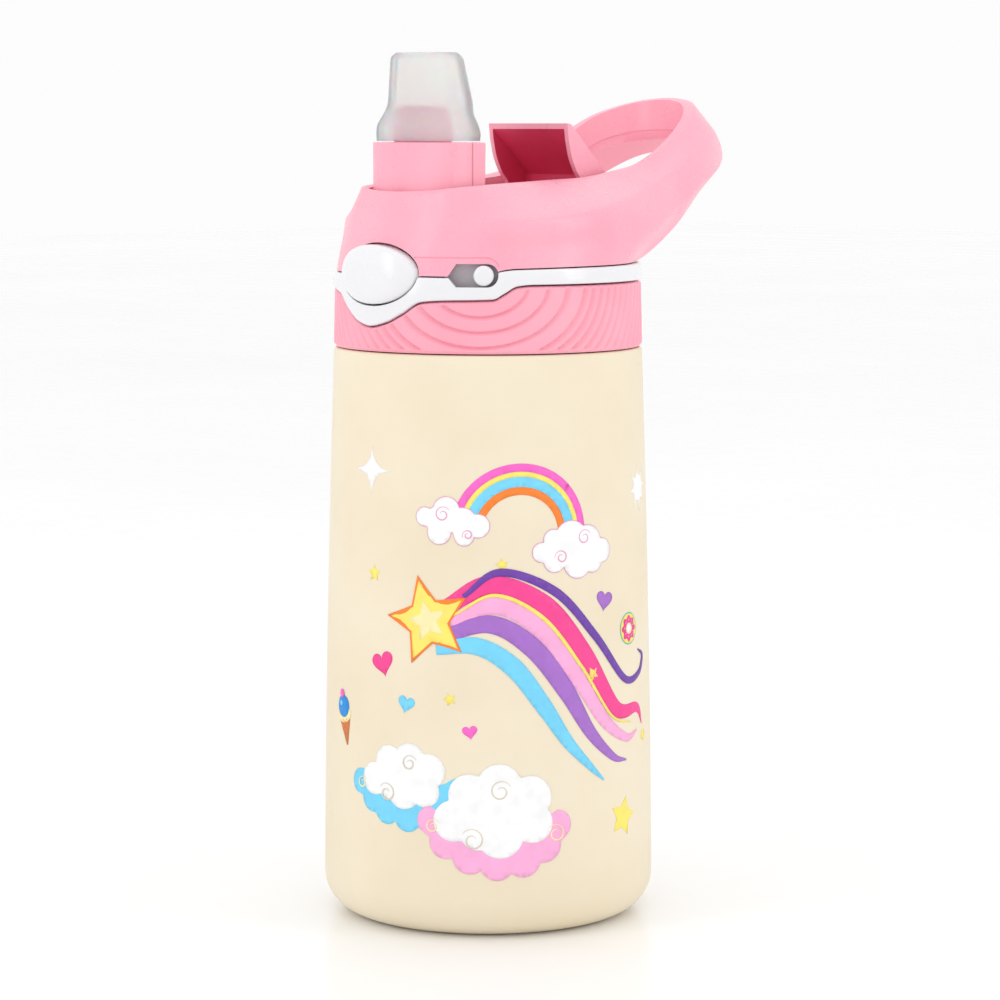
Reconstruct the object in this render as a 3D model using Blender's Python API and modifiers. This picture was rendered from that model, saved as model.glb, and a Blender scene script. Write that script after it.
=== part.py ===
"""Kids' insulated water bottle: push-button lid, flip spout with a shield, loop handle.

The lid's button faces -Y and its loop handle points to +Y. The bottle stands on z = 0.
Sizes are in metres. Pieces that touch on the real object keep a gap of FIT between them.
"""

import bpy
import bmesh
import numpy as np
from math import asin, atan2, cos, degrees, pi, radians, sin
from mathutils import Matrix, Vector

MM = 0.001
FIT = 0.3 * MM  # gap between neighbouring pieces
WELD = 0.001 * MM  # points closer than this are one

# ---- bottle body
BODY_R = 37.5 * MM  # widest radius, near the foot
BODY_TOP_R = 34.8 * MM  # radius at the joint with the lid
BODY_H = 128.3 * MM  # height of the joint with the lid; the lid's heights are counted from it
FOOT_R = 9.0 * MM  # rounding between wall and base
SHELL_WALL = 0.9 * MM
VACUUM = 1.9 * MM  # gap between the outer and the inner wall
FLASK_WALL = 0.8 * MM
FLASK_FLOOR = 6.0 * MM  # underside of the inner flask
FLASK_ROUND = 8.0 * MM  # rounding between its floor and wall
BASE_R = 25.0 * MM  # radius of the pressed base cap
BASE_WALL = 1.2 * MM
GETTER_IN, GETTER_OUT = 7.0 * MM, 9.0 * MM  # radii of the ring under the inner flask
GETTER_T = 1.2 * MM

# ---- neck and its thread
NECK_R = BODY_TOP_R - 5.4 * MM
NECK_H = 9.2 * MM  # height of the neck above the shoulder
PITCH = 4.0 * MM
THREAD_DEPTH = 1.1 * MM
THREAD_W = 1.8 * MM
THREAD_TURNS = 1.25
THREAD_PLAY = 0.5 * MM  # radial gap from a thread's crest to the opposite wall

# ---- lid: collar, trim band and housing
COLLAR_R = BODY_TOP_R - 0.2 * MM
LID_R = COLLAR_R - 0.6 * MM  # radius of the housing's foot
TRIM_WALL = 2.0 * MM
TRIM_PROUD = 0.5 * MM
DECK_T = 1.8 * MM
SEAL_T = 1.2 * MM
CHANNEL_PLAY = 1.2 * MM  # between the channel's walls and the spout's flanks
CHANNEL_FRONT = 27.2 * MM
TRAY_T = 1.5 * MM
TRAY_PLAY = 0.8 * MM  # between the tray's rim and the channel's walls
TRAY_ARC = 0.81  # share of the channel's half width that the tray's curved front takes
TRAY_CORNER = -20.4 * MM  # y where its straight flanks begin
TRAY_REAR = 1.2 * MM  # from its rear edge to the bridge
BRIDGE_Y = 25.2 * MM  # front face of the wall behind the channel
BRIDGE_T = 2.4 * MM
BRIDGE_X = 17.5 * MM  # half width
BRIDGE_TOP = BODY_H + 36.2 * MM
SHELF_T = 2.2 * MM  # floor behind the bridge
POCKET_H = 7.0 * MM  # depth of the hollows under the housing's shoulders
SHOULDER_WALL = 2.4 * MM
CREST_LIP = 0.7 * MM  # height of the crest above the channel's edge

# ---- spout: it swings back about an axis along X
SPOUT_Y = -19.6 * MM
SPOUT_Z = BODY_H + 29.7 * MM
SPOUT_R = 6.8 * MM  # barrel round the axis
SPOUT_X = 13.0 * MM  # half width
SPOUT_TOP = BODY_H + 45.7 * MM
SPOUT_FRONT = 26.6 * MM  # radius of the curved front, about the lid's axis
SPOUT_CORNER = 0.7 * MM  # how far the front's side edges fall back
CORNER_W = 1.6 * MM  # width of those edges
SPOUT_BACK = 7.1 * MM  # from the axis to the spout's rear face
BACK_T = 4.0 * MM  # thickness of the rear cover
FLOW_R = 2.6 * MM  # waterway
MOUTH_WALL = 1.6 * MM
PIN_R = 1.5 * MM
PIN_IN = 2.2 * MM  # how far a pin reaches into the piece it carries
PIN_SEAT = 1.9 * MM  # and into the housing's wall

# ---- shield over the folded spout: it swings forward about an axis along X
SHIELD_Y = 20.4 * MM
SHIELD_Z = BODY_H + 24.9 * MM
SHIELD_X = SPOUT_X
SHIELD_WALL = 1.3 * MM
SHIELD_BARREL = 2.8 * MM

# ---- release button and child lock
BUTTON_A = 11.8 * MM  # half width
BUTTON_B = 6.5 * MM  # half height
BUTTON_Z = BODY_H + 17.1 * MM
BUTTON_PROUD = 2.2 * MM
BUTTON_GAP = 0.4 * MM
BUTTON_TRAVEL = 2.0 * MM
LOCK_AZ = 45.6  # degrees from the front towards +X
LOCK_Z = BODY_H + 17.2 * MM
LOCK_R = 2.2 * MM
LOCK_SWING = 7.0  # degrees towards the front
LOCK_FLOOR = 31.0 * MM  # distance of the slot's floor from the lid's axis
SLOT_H = 2.5 * MM  # half height
SLOT_FROM = LOCK_AZ - LOCK_SWING - 6.2  # degrees, at the slot's pointed end
SLOT_TO = LOCK_AZ + 5.3
TRACK_T = 0.8 * MM  # thickness of the grey track behind the slot
TRACK_MARGIN = 0.8 * MM

STRAW_R = 3.2 * MM
STRAW_WALL = 0.8 * MM
STRAW_FOOT = 16.0 * MM  # height of the straw's lower end
WIRE_R = 0.4 * MM
COIL_R = 3.6 * MM  # radius of the spout's and the shield's springs
COIL_ROOM = 0.8 * MM  # from a coil's middle line to the hollow round it
VENT_Y = 14.0 * MM
VENT_R = 2.4 * MM
PORT_R = 5.2 * MM  # outside of the seal under the spout
SOCKET_WALL = 1.3 * MM

ROUND = 48  # sides of the large turned pieces

# The trim band's lower and upper edge: degrees round the lid, mm above the joint.
BAND_LOW = [(-180, 15.1), (-62, 14.9), (-40, 13.6), (-24, 12.3), (-16, 9.1), (-8, 6.5), (-2, 5.8), (6, 6.7),
            (14, 8.8), (22, 11.4), (30, 11.8), (49, 12.1), (53, 13.3), (58, 14.9), (64, 15.2), (180, 15.1)]
BAND_HIGH = [(-180, 19.1), (-90, 18.1), (-43, 17.0), (47, 16.7), (52, 18.0), (58, 18.4), (110, 18.8),
             (180, 19.1)]

shoulder_z = BODY_H
neck_top = shoulder_z + NECK_H
seal_z = neck_top + FIT
deck_z = seal_z + SEAL_T + FIT
shelf_z = shoulder_z + max(z for _, z in BAND_HIGH) * MM + FIT
tray_z = shelf_z
CHANNEL_X = SPOUT_X + CHANNEL_PLAY
flask_r = BODY_R - SHELL_WALL - VACUUM
collar_in = NECK_R + THREAD_DEPTH + THREAD_PLAY

for old in list(bpy.data.objects):
    bpy.data.objects.remove(old, do_unlink=True)

parts = bpy.data.collections.new("kids_water_bottle")
cutters = bpy.data.collections.new("cutters")
bpy.context.scene.collection.children.link(parts)
bpy.context.scene.collection.children.link(cutters)


def material(name, colour, roughness, metallic=0.0):
    """A plain surface; colour is what the eye sees, 0 to 255."""
    made = bpy.data.materials.new(name)
    made.use_nodes = True
    shader = made.node_tree.nodes["Principled BSDF"]
    linear = [((c / 255 + 0.055) / 1.055) ** 2.4 for c in colour]
    shader.inputs["Base Color"].default_value = (*linear, 1.0)
    shader.inputs["Roughness"].default_value = roughness
    shader.inputs["Metallic"].default_value = metallic
    return made


def add(name, mesh, surface=None, sharp=35):
    """A named object of the bottle, or a cutter when it has no surface."""
    thing = bpy.data.objects.new(name, mesh)
    if surface is None:
        cutters.objects.link(thing)
        thing.hide_render = True
        thing.display_type = "WIRE"
        return thing
    parts.objects.link(thing)
    mesh.materials.clear()
    mesh.materials.append(surface)
    mesh.shade_smooth()
    mesh.set_sharp_from_angle(angle=radians(sharp))
    return thing


def skin(name, rings, surface=None, ring_closed=True, sharp=35):
    """A skin over closed rings of equal length: end caps, or the last ring joined to the first."""
    work = bmesh.new()
    rows = [[work.verts.new(p) for p in ring] for ring in rings]
    count = len(rows[0])
    pairs = list(zip(rows, rows[1:]))
    if ring_closed:
        pairs.append((rows[-1], rows[0]))
    else:
        work.faces.new(rows[0])
        work.faces.new(rows[-1])
    for low, high in pairs:
        for i in range(count):
            j = (i + 1) % count
            work.faces.new((low[i], low[j], high[j], high[i]))
    bmesh.ops.recalc_face_normals(work, faces=work.faces)
    mesh = bpy.data.meshes.new(name)
    work.to_mesh(mesh)
    work.free()
    return add(name, mesh, surface, sharp)


def turned(name, profile, surface=None, steps=ROUND, centre=(0.0, 0.0)):
    """A profile of (radius, z) points turned about a vertical axis by a Screw modifier.

    A profile that starts and ends on the axis makes a solid; any other is closed and makes a ring.
    """
    after = profile[1:] + profile[:1]
    if sum(r0 * z1 - r1 * z0 for (r0, z0), (r1, z1) in zip(profile, after)) > 0:
        profile = profile[::-1]
    count = len(profile)
    edges = [(k, k + 1) for k in range(count - 1)]
    if profile[0][0] > 0:
        edges.append((count - 1, 0))
    mesh = bpy.data.meshes.new(name)
    mesh.from_pydata([(r, 0, z) for r, z in profile], edges, [])
    thing = add(name, mesh, surface)
    thing.location = (*centre, 0)
    step = thing.modifiers.new("turn", "SCREW")
    step.steps = step.render_steps = steps
    step.use_merge_vertices = True
    step.merge_threshold = WELD
    return thing


def solid_from(name, curve, place, surface=None):
    """A mesh object from a curve, with its caps welded, moved by a matrix."""
    guide = bpy.data.objects.new(name, curve)
    bpy.context.scene.collection.objects.link(guide)
    bpy.context.view_layer.update()
    mesh = bpy.data.meshes.new_from_object(guide.evaluated_get(bpy.context.evaluated_depsgraph_get()))
    bpy.data.objects.remove(guide, do_unlink=True)
    work = bmesh.new()
    work.from_mesh(mesh)
    bmesh.ops.remove_doubles(work, verts=work.verts, dist=WELD)
    bmesh.ops.recalc_face_normals(work, faces=work.faces)
    work.transform(place)
    work.to_mesh(mesh)
    work.free()
    return add(name, mesh, surface)


def rod(name, radius, start, end, surface=None, sides=24):
    """A round bar between two points."""
    work = bmesh.new()
    bmesh.ops.create_cone(work, cap_ends=True, segments=sides, radius1=radius, radius2=radius, depth=1.0)
    a, b = np.array(start), np.array(end)
    length = float(np.linalg.norm(b - a))
    aim = Vector(b - a).to_track_quat("Z", "Y").to_matrix().to_4x4()
    work.transform(Matrix.Translation(Vector((a + b) / 2)) @ aim @ Matrix.Diagonal((1, 1, length, 1)))
    mesh = bpy.data.meshes.new(name)
    work.to_mesh(mesh)
    work.free()
    return add(name, mesh, surface)


def slab(name, outline, low, high, axis="Z", surface=None):
    """A flat outline pushed from low to high along Z or X; on X its points are (y, z)."""
    curve = bpy.data.curves.new(name, "CURVE")
    curve.dimensions = "2D"
    curve.fill_mode = "BOTH"
    curve.extrude = (high - low) / 2
    line = curve.splines.new("POLY")
    line.points.add(len(outline) - 1)
    line.points.foreach_set("co", [c for u, v in outline for c in (u, v, 0, 1)])
    line.use_cyclic_u = True
    middle = (low + high) / 2
    if axis == "Z":
        return solid_from(name, curve, Matrix.Translation((0, 0, middle)), surface)
    stand = Matrix(((0, 0, 1, middle), (1, 0, 0, 0), (0, 1, 0, 0), (0, 0, 0, 1)))
    return solid_from(name, curve, stand, surface)


def block(name, low, high, surface=None):
    """A box between two corners."""
    work = bmesh.new()
    bmesh.ops.create_cube(work, size=1.0)
    a, b = Vector(low), Vector(high)
    work.transform(Matrix.Translation((a + b) / 2) @ Matrix.Diagonal((*(b - a), 1)))
    mesh = bpy.data.meshes.new(name)
    work.to_mesh(mesh)
    work.free()
    return add(name, mesh, surface)


def combine(thing, other, how):
    """Cut or join with EXACT, which keeps every wall true."""
    step = thing.modifiers.new(other.name, "BOOLEAN")
    step.operation = how
    step.solver = "EXACT"
    step.object = other
    if other.name in parts.objects:
        parts.objects.unlink(other)
        cutters.objects.link(other)
        other.hide_render = True
        other.display_type = "WIRE"
    return thing


def cut(thing, *others):
    for other in others:
        combine(thing, other, "DIFFERENCE")


def join(thing, *others):
    for other in others:
        combine(thing, other, "UNION")


def helix(name, radius, section, z0, pitch, turns, surface=None, steps=48):
    """A bar of (radial, axial) section wound round the z axis, rising anticlockwise."""
    count = int(steps * turns) + 1
    rings = []
    for k in range(count):
        turn = 2 * pi * k / steps
        z = z0 + pitch * turn / (2 * pi)
        rings.append([((radius + r) * cos(turn), (radius + r) * sin(turn), z + a) for r, a in section])
    return skin(name, rings, surface, ring_closed=False)


def coil(name, radius, wire, length, turns, place, surface, steps=12):
    """A spring: a round wire wound about the local z axis and put in place by a matrix."""
    count = steps * turns + 1
    curve = bpy.data.curves.new(name, "CURVE")
    curve.dimensions = "3D"
    curve.bevel_depth = wire
    curve.bevel_resolution = 1
    curve.use_fill_caps = True
    line = curve.splines.new("POLY")
    line.points.add(count - 1)
    for k, point in enumerate(line.points):
        turn = 2 * pi * k / steps
        point.co = (radius * cos(turn), radius * sin(turn), length * (k / (count - 1) - 0.5), 1)
    return solid_from(name, curve, place, surface)


def along(points, x):
    """Height of an edge given as (x, value) points, smoothed between them."""
    for (x0, v0), (x1, v1) in zip(points, points[1:]):
        if x <= x1:
            t = (x - x0) / (x1 - x0)
            return v0 + (v1 - v0) * t * t * (3 - 2 * t)
    return points[-1][1]


def spline(points, per_span):
    """Catmull-Rom through the points: per_span places from each to the next, the last one included."""
    p = np.array(points, float)
    p = np.vstack([p[1] * (-1, *[1] * (p.shape[1] - 1)), p, p[-2] * (-1, *[1] * (p.shape[1] - 1))])
    made = []
    for k in range(1, len(p) - 2):
        for t in np.linspace(0, 1, per_span, endpoint=False):
            made.append(0.5 * (2 * p[k] + (p[k + 1] - p[k - 1]) * t
                               + (2 * p[k - 1] - 5 * p[k] + 4 * p[k + 1] - p[k + 2]) * t ** 2
                               + (3 * p[k] - p[k - 1] - 3 * p[k + 1] + p[k + 2]) * t ** 3))
    made.append(p[-2])
    return made


def mirrored(half):
    """A closed loop from its +X half, whose first and last points lie on the mirror plane."""
    return [tuple(p) for p in half] + [(-p[0], *p[1:]) for p in half[-2:0:-1]]


def spaced_angles(fine_from, fine_to, fine, coarse):
    """Degrees round the lid, closer together where the trim band bends."""
    front = np.linspace(fine_from, fine_to, fine, endpoint=False)
    back = np.linspace(fine_to, fine_from + 360, coarse, endpoint=False)
    return [*front, *back]


def wrap(az):
    return (az + 180) % 360 - 180


def band_low(az):
    return shoulder_z + along(BAND_LOW, wrap(az)) * MM


def band_high(az):
    return shoulder_z + along(BAND_HIGH, wrap(az)) * MM


def polar(r, az, z):
    return (r * sin(radians(az)), -r * cos(radians(az)), z)


cream = material("cream_powder_coat", (238, 224, 195), 0.55, 0.0)
steel = material("stainless_steel", (200, 200, 202), 0.3, 1.0)
spring_steel = material("spring_steel", (170, 170, 175), 0.35, 1.0)
pink = material("pink_plastic", (252, 189, 203), 0.35)
collar_pink = material("collar_pink_plastic", (248, 172, 190), 0.4)
white = material("white_plastic", (240, 240, 241), 0.3)
grey = material("grey_plastic", (180, 179, 182), 0.45)
clear = material("frosted_silicone", (240, 226, 229), 0.4)
silicone = material("white_silicone", (235, 235, 232), 0.6)
straw_plastic = material("clear_straw", (236, 240, 242), 0.25)


# ---- bottle -----------------------------------------------------------------------------------
def body_radius(z):
    """The wall's outer radius: a slight barrel low down, then a straight taper to the lid."""
    rise = z / BODY_H
    return BODY_R + (BODY_TOP_R - BODY_R) * rise ** 1.6


def wall_points(inset, low, high, steps=4):
    return [(body_radius(z) - inset, z) for z in np.linspace(low, high, steps)]


def foot_arc(inset, steps=4):
    """The rounded foot, from the flat base up to the wall."""
    centre = body_radius(FOOT_R) - FOOT_R
    r = FOOT_R - inset
    return [(centre + r * sin(a), FOOT_R - r * cos(a)) for a in np.linspace(0, pi / 2, steps, endpoint=False)]


outer = [(BASE_R, 0.0), *foot_arc(0.0), *wall_points(0.0, FOOT_R, BODY_H - 0.8 * MM),
         (BODY_TOP_R - 0.8 * MM, BODY_H), (NECK_R + FIT, BODY_H)]
inner = [(NECK_R + FIT, BODY_H - SHELL_WALL),
         *reversed(wall_points(SHELL_WALL, FOOT_R, BODY_H - 1.6 * MM)),
         *reversed(foot_arc(SHELL_WALL)), (BASE_R, SHELL_WALL)]
turned("outer_shell", outer + inner, cream)

groove_r = BASE_R * 0.72
base_profile = [(groove_r - 2 * MM, 0.0), (groove_r - 1.2 * MM, 0.6 * MM), (groove_r + 1.2 * MM, 0.6 * MM),
                (groove_r + 2 * MM, 0.0), (BASE_R - FIT, 0.0), (BASE_R - FIT, BASE_WALL),
                (groove_r + 3 * MM, BASE_WALL), (groove_r + 2 * MM, BASE_WALL + 0.6 * MM),
                (groove_r - 2 * MM, BASE_WALL + 0.6 * MM), (groove_r - 3 * MM, BASE_WALL)]
base_rings = [[polar(r, 360 * k / ROUND, z) for k in range(ROUND)] for r, z in base_profile]
skin("base_cap", base_rings, steel, ring_closed=False)


def flask_profile(inset):
    """The inner flask's skin from the middle of its floor up to the lip."""
    r = FLASK_ROUND - inset
    centre = flask_r - FLASK_ROUND
    low = [(centre + r * sin(a), FLASK_FLOOR + FLASK_ROUND - r * cos(a))
           for a in np.linspace(0, pi / 2, 4, endpoint=False)]
    side = [(body_radius(z) - SHELL_WALL - VACUUM - inset, z)
            for z in np.linspace(FLASK_FLOOR + FLASK_ROUND, BODY_H - 7 * MM, 3)]
    neck = [(NECK_R - inset, BODY_H - 1.5 * MM), (NECK_R - inset, neck_top)]
    return [(0.0, FLASK_FLOOR + inset), *low, *side, *neck]


flask = turned("inner_flask", flask_profile(0.0) + flask_profile(FLASK_WALL)[::-1], steel)
ridge = [(-0.4 * MM, -THREAD_W / 2), (THREAD_DEPTH, -THREAD_W / 4), (THREAD_DEPTH, THREAD_W / 4),
         (-0.4 * MM, THREAD_W / 2)]
thread_z = shoulder_z + 2.0 * MM
join(flask, helix("neck_thread", NECK_R, ridge, thread_z, PITCH, THREAD_TURNS, steel))

getter_top = FLASK_FLOOR - FIT
getter_profile = [(GETTER_IN, getter_top - GETTER_T), (GETTER_OUT, getter_top - GETTER_T),
                  (GETTER_OUT, getter_top), (GETTER_IN, getter_top)]
turned("vacuum_getter", getter_profile, spring_steel, steps=32)

# ---- lid: seal, collar, trim and deck -----------------------------------------------------------
seal_profile = [(NECK_R - 2.6 * MM, seal_z), (collar_in - 0.6 * MM, seal_z),
                (collar_in - 0.6 * MM, seal_z + SEAL_T), (NECK_R - 2.6 * MM, seal_z + SEAL_T)]
turned("neck_seal", seal_profile, silicone, steps=48)

azimuths = spaced_angles(-64, 66, 34, 26)


def collar_section(az):
    """One slice of the collar: sleeve inside, grip skin outside, a step under the trim band."""
    top = band_low(az) - FIT
    low = shoulder_z + FIT
    step_r = COLLAR_R - TRIM_WALL - FIT
    sleeve_top = deck_z + DECK_T
    points = [(collar_in, low), (BODY_TOP_R - 0.5 * MM, low), (BODY_TOP_R - 0.1 * MM, low + 0.4 * MM),
              (COLLAR_R - 0.2 * MM, top - 0.3 * MM), (COLLAR_R - 0.6 * MM, top),
              (step_r, top), (step_r, sleeve_top), (collar_in, sleeve_top)]
    if top > sleeve_top:
        points[5:7] = [(step_r + 0.2 * MM, top), (step_r, top - 0.3 * MM)]
        points[7] = (collar_in, top - 0.3 * MM)
    return [polar(r, az, z) for r, z in points]


collar = skin("lid_collar", [collar_section(az) for az in azimuths], collar_pink)
groove_ridge = [(0.5 * MM, -THREAD_W / 2), (-THREAD_DEPTH, -THREAD_W / 4), (-THREAD_DEPTH, THREAD_W / 4),
                (0.5 * MM, THREAD_W / 2)]
between = thread_z + PITCH * 0.48  # height where the collar's ridge lies between the neck's turns
join(collar, helix("collar_thread", collar_in, groove_ridge, between, PITCH, 1.0, collar_pink))


def trim_section(az):
    """One slice of the trim band, its outer face slightly crowned."""
    low, high = band_low(az), band_high(az)
    edge = 0.5 * MM
    inner_r = COLLAR_R - TRIM_WALL
    crown = COLLAR_R + TRIM_PROUD - 0.3 * MM
    points = [(inner_r, low), (COLLAR_R - edge, low), (crown - 0.15 * MM, low + edge),
              (crown, (low + high) / 2), (crown - 0.4 * MM, high - edge), (COLLAR_R - edge, high),
              (inner_r, high)]
    return [polar(r, az, z) for r, z in points]


trim = skin("trim_ring", [trim_section(az) for az in azimuths], white)

deck_r = collar_in - FIT
straw_y = SPOUT_Y
deck = rod("lid_deck", deck_r, (0, 0, deck_z), (0, 0, deck_z + DECK_T), white, sides=ROUND)
socket_r = STRAW_R + SOCKET_WALL
deck_low, deck_high = deck_z - MM, deck_z + DECK_T + MM
cut(deck, rod("deck_port", socket_r + FIT, (0, straw_y, deck_low), (0, straw_y, deck_high)))
cut(deck, rod("deck_vent", VENT_R + FIT, (0, VENT_Y, deck_low), (0, VENT_Y, deck_high)))

# ---- housing with its loop handle ----------------------------------------------------------------
# Rows of places from the front centre round the +X side to the handle's end. The channel's edge and
# the crest above it give x as a share of CHANNEL_X; all else is in mm, heights above the joint.
CHANNEL_EDGE = [(0, -27.2), (0.655, -25.6), (0.979, -22.6), (1, -12), (1, 2), (1, 13), (1.056, 22),
                (1.169, 30), (1.197, 38.5), (1.028, 47.2), (0.592, 53.3), (0, 55.5)]
CREST = [(0, -28.1, 35.4), (0.683, -26.6, 35.7), (1.099, -23.2, 36.4), (1.197, -12, 37.1), (1.197, 2, 37.7),
         (1.197, 13, 38.1), (1.261, 22, 39.4), (1.338, 30, 41.4), (1.352, 38.8, 46.1), (1.169, 48.4, 51.9),
         (0.676, 55.4, 55.1), (0, 57.9, 56.1)]
RIDGE = [(0, -31.2, 28.1), (11, -29.2, 28.3), (19.8, -24.6, 28.6), (28.8, -15.8, 29.0), (32.9, 0, 30.5),
         (31, 13.5, 33.1), (27.6, 24.5, 35.9), (25.4, 33, 38.7), (24.2, 41, 42.1), (19.6, 52.4, 46.1),
         (11.4, 60.8, 48.6), (0, 63.8, 49.5)]
BELLY = [(0, -33, 22.2), (11.6, -30.9, 22.3), (20.6, -25.8, 22.5), (30.2, -13.6, 22.9), (33.4, 2, 23.7),
         (31.4, 15.5, 25.3), (28.6, 26, 27.7), (26.2, 34.5, 31.7), (24.4, 43, 35.9), (19.8, 54.6, 40.1),
         (11.8, 62.8, 44.5), (0, 65.8, 45.9)]
FOOT = [(0, -34.0, 0), (12.0, -31.8, 0), (21.4, -26.4, 0), (30.8, -14.4, 0), (34.0, 0.0, 0), (31.9, 11.8, 0),
        (26.0, 21.9, 0.3), (24.0, 31.5, 4.4), (22.4, 40.5, 10.2), (17.8, 51.0, 17.4), (10.4, 58.4, 22.8),
        (0, 61.4, 24.2)]  # the last number is the height above the band
CHANNEL_FOOT = [0, 0, 0, 0, 0, 0, 0.6, 7.0, 15.6, 23.0, 26.0, 26.6]  # mm above the shelf
SPAN = 3  # places between two points of a row


def housing_row(points, wide=MM):
    """A closed row round the housing; wide is the length that its x counts in."""
    return mirrored([(x * wide, y * MM, shoulder_z + z * MM) for x, y, z in spline(points, SPAN)])


def foot_row():
    """The housing's lower edge, which follows the trim band where it stands on it."""
    row = []
    for x, y, rise in spline(FOOT, SPAN):
        az = degrees(atan2(x, -y))
        row.append((x * MM, y * MM, band_high(az) + FIT + max(rise, 0) * MM))
    left = []
    for x, y, z in row[-2:0:-1]:
        az = degrees(atan2(-x, -y))
        left.append((-x, y, band_high(az) - band_high(-az) + z))
    return row + left


crest = housing_row(CREST, CHANNEL_X)
lift = [p[1] for p in spline(list(enumerate(CHANNEL_FOOT)), SPAN)]
channel = [(x * CHANNEL_X, y * MM) for x, y in spline(CHANNEL_EDGE, SPAN)]
edge_top = mirrored([(*place, top[2] - CREST_LIP) for place, top in zip(channel, crest)])
edge_low = mirrored([(*place, shelf_z + max(h, 0) * MM) for place, h in zip(channel, lift)])
housing = skin("lid_housing", [foot_row(), housing_row(BELLY), housing_row(RIDGE), crest, edge_top, edge_low],
               pink, sharp=50)
shelf_plan = [polar(LID_R - 0.2 * MM, az, 0)[:2] for az in np.linspace(137, 223, 15)]
join(housing, slab("rear_shelf", shelf_plan, shelf_z, shelf_z + SHELF_T, surface=pink))
join(housing, block("rear_bridge", (-BRIDGE_X, BRIDGE_Y, shelf_z + 0.5 * MM),
                    (BRIDGE_X, BRIDGE_Y + BRIDGE_T, BRIDGE_TOP), pink))
for side in (1, -1):
    edge = CHANNEL_X + SHOULDER_WALL
    reach = LID_R - SHOULDER_WALL - 1.0 * MM
    angles = np.linspace(38, 118, 12) if side > 0 else np.linspace(-38, -118, 12)
    pocket = [polar(reach, az, 0)[:2] for az in angles]
    pocket += [(side * edge, pocket[-1][1]), (side * edge, pocket[0][1])]
    cut(housing, slab(f"pocket_{side}", pocket, deck_z, shelf_z + POCKET_H))

# ---- spout --------------------------------------------------------------------------------------
def front_reach(x):
    """How far the spout's front stands before its axis at a distance x from the middle."""
    corner = max(0.0, (abs(x) - (SPOUT_X - CORNER_W)) / CORNER_W)
    return (SPOUT_FRONT ** 2 - x * x) ** 0.5 + SPOUT_Y - SPOUT_CORNER * corner ** 2


def spout_slice(x):
    """The spout's side outline at x; its underside stays clear of the channel's front as it folds."""
    reach = front_reach(x)
    barrel_r = min(SPOUT_R, reach)
    ring = [(-reach, SPOUT_TOP - SPOUT_Z), (-reach, 0.5 * MM)]
    ring += [(-barrel_r * cos(a), -barrel_r * sin(a)) for a in np.linspace(0, pi / 2, 7)]
    ring += [(SPOUT_R * sin(a), -barrel_r * cos(a)) for a in np.linspace(0, pi / 2, 7)[1:]]
    ring += [(SPOUT_BACK, 0.5 * MM), (SPOUT_BACK, SPOUT_TOP - SPOUT_Z)]
    return [(x, SPOUT_Y + y, SPOUT_Z + z) for y, z in ring]


back_y = SPOUT_Y + SPOUT_BACK
stations = [SPOUT_X * share for share in (0.3, 0.55, 0.72)]
stations = [0.0, *stations, *np.linspace(SPOUT_X - CORNER_W, SPOUT_X, 4)]
stations = [-x for x in stations[:0:-1]] + stations
spout = skin("spout_body", [spout_slice(x) for x in stations], pink, ring_closed=False)
slit_y = back_y - BACK_T
ledge_z = SPOUT_Z + 2.4 * MM
cut(spout, block("back_seat", (-SPOUT_X - MM, slit_y - FIT, ledge_z), (SPOUT_X + MM, 0, SPOUT_TOP + MM)))
core_y = SPOUT_Y


def rounded(a, b, y, z, power=3.0, count=28):
    """A rounded rectangle of half sizes a and b, as a superellipse."""
    ring = []
    for k in range(count):
        t = 2 * pi * k / count
        c, s = cos(t), sin(t)
        ring.append((a * np.sign(c) * abs(c) ** (2 / power), y + b * np.sign(s) * abs(s) ** (2 / power), z))
    return ring


# Core rings: share of the spout's half width, half depth and height above the spout body in mm.
CORE = [(0.65, 2.7, -1.0), (0.63, 2.7, 5.0), (0.52, 2.6, 7.2), (0.34, 2.4, 8.0)]
core = [rounded(SPOUT_X * a, b * MM, core_y, SPOUT_TOP + h * MM) for a, b, h in CORE]
join(spout, skin("spout_core", core, pink, ring_closed=False))
cut(spout, rod("waterway", FLOW_R * 0.8, (0, core_y, shelf_z), (0, core_y, SPOUT_TOP + 20 * MM), sides=16))
for side, name in ((1, "pin_hole_right"), (-1, "pin_hole_left")):
    cut(spout, rod(name, PIN_R + FIT, (side * (SPOUT_X - PIN_IN - FIT), SPOUT_Y, SPOUT_Z),
                   (side * 20 * MM, SPOUT_Y, SPOUT_Z)))

back_outline = [(slit_y, ledge_z + FIT), (back_y - 0.2 * MM, ledge_z + FIT), (back_y, SPOUT_TOP),
                (slit_y, SPOUT_TOP)]
slab("spout_back", back_outline, -SPOUT_X, SPOUT_X, axis="X", surface=pink)

# Mouthpiece rings: share of the spout's half width; half depth, centre y and height above it in mm.
MOUTH = [(0.954, 6.4, -19.2, 0.3), (0.962, 6.5, -19.2, 2.4), (0.915, 6.3, -19.0, 4.4), (0.8, 6.0, -18.7, 8.2),
         (0.738, 5.8, -18.5, 13.0), (0.692, 5.6, -18.3, 17.2), (0.654, 5.3, -18.3, 18.8),
         (0.562, 4.6, -18.3, 19.6)]
mouth = [(SPOUT_X * a, b * MM, y * MM, SPOUT_TOP + h * MM) for a, b, y, h in MOUTH]
tip_a, tip_b, tip_y, tip_z = mouth[-1]
outside = [rounded(a, b, y, z) for a, b, y, z in mouth]
inside = [rounded(a - MOUTH_WALL, b - MOUTH_WALL, y, z) for a, b, y, z in mouth[:-2]]
lip = [rounded(tip_a - 1.1 * MM, tip_b - 1.2 * MM, tip_y, tip_z),
       rounded(tip_a - 1.3 * MM, tip_b - 1.4 * MM, tip_y, tip_z - 1.4 * MM)]
skin("mouthpiece", outside + lip + inside[::-1], clear, sharp=60)

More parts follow.
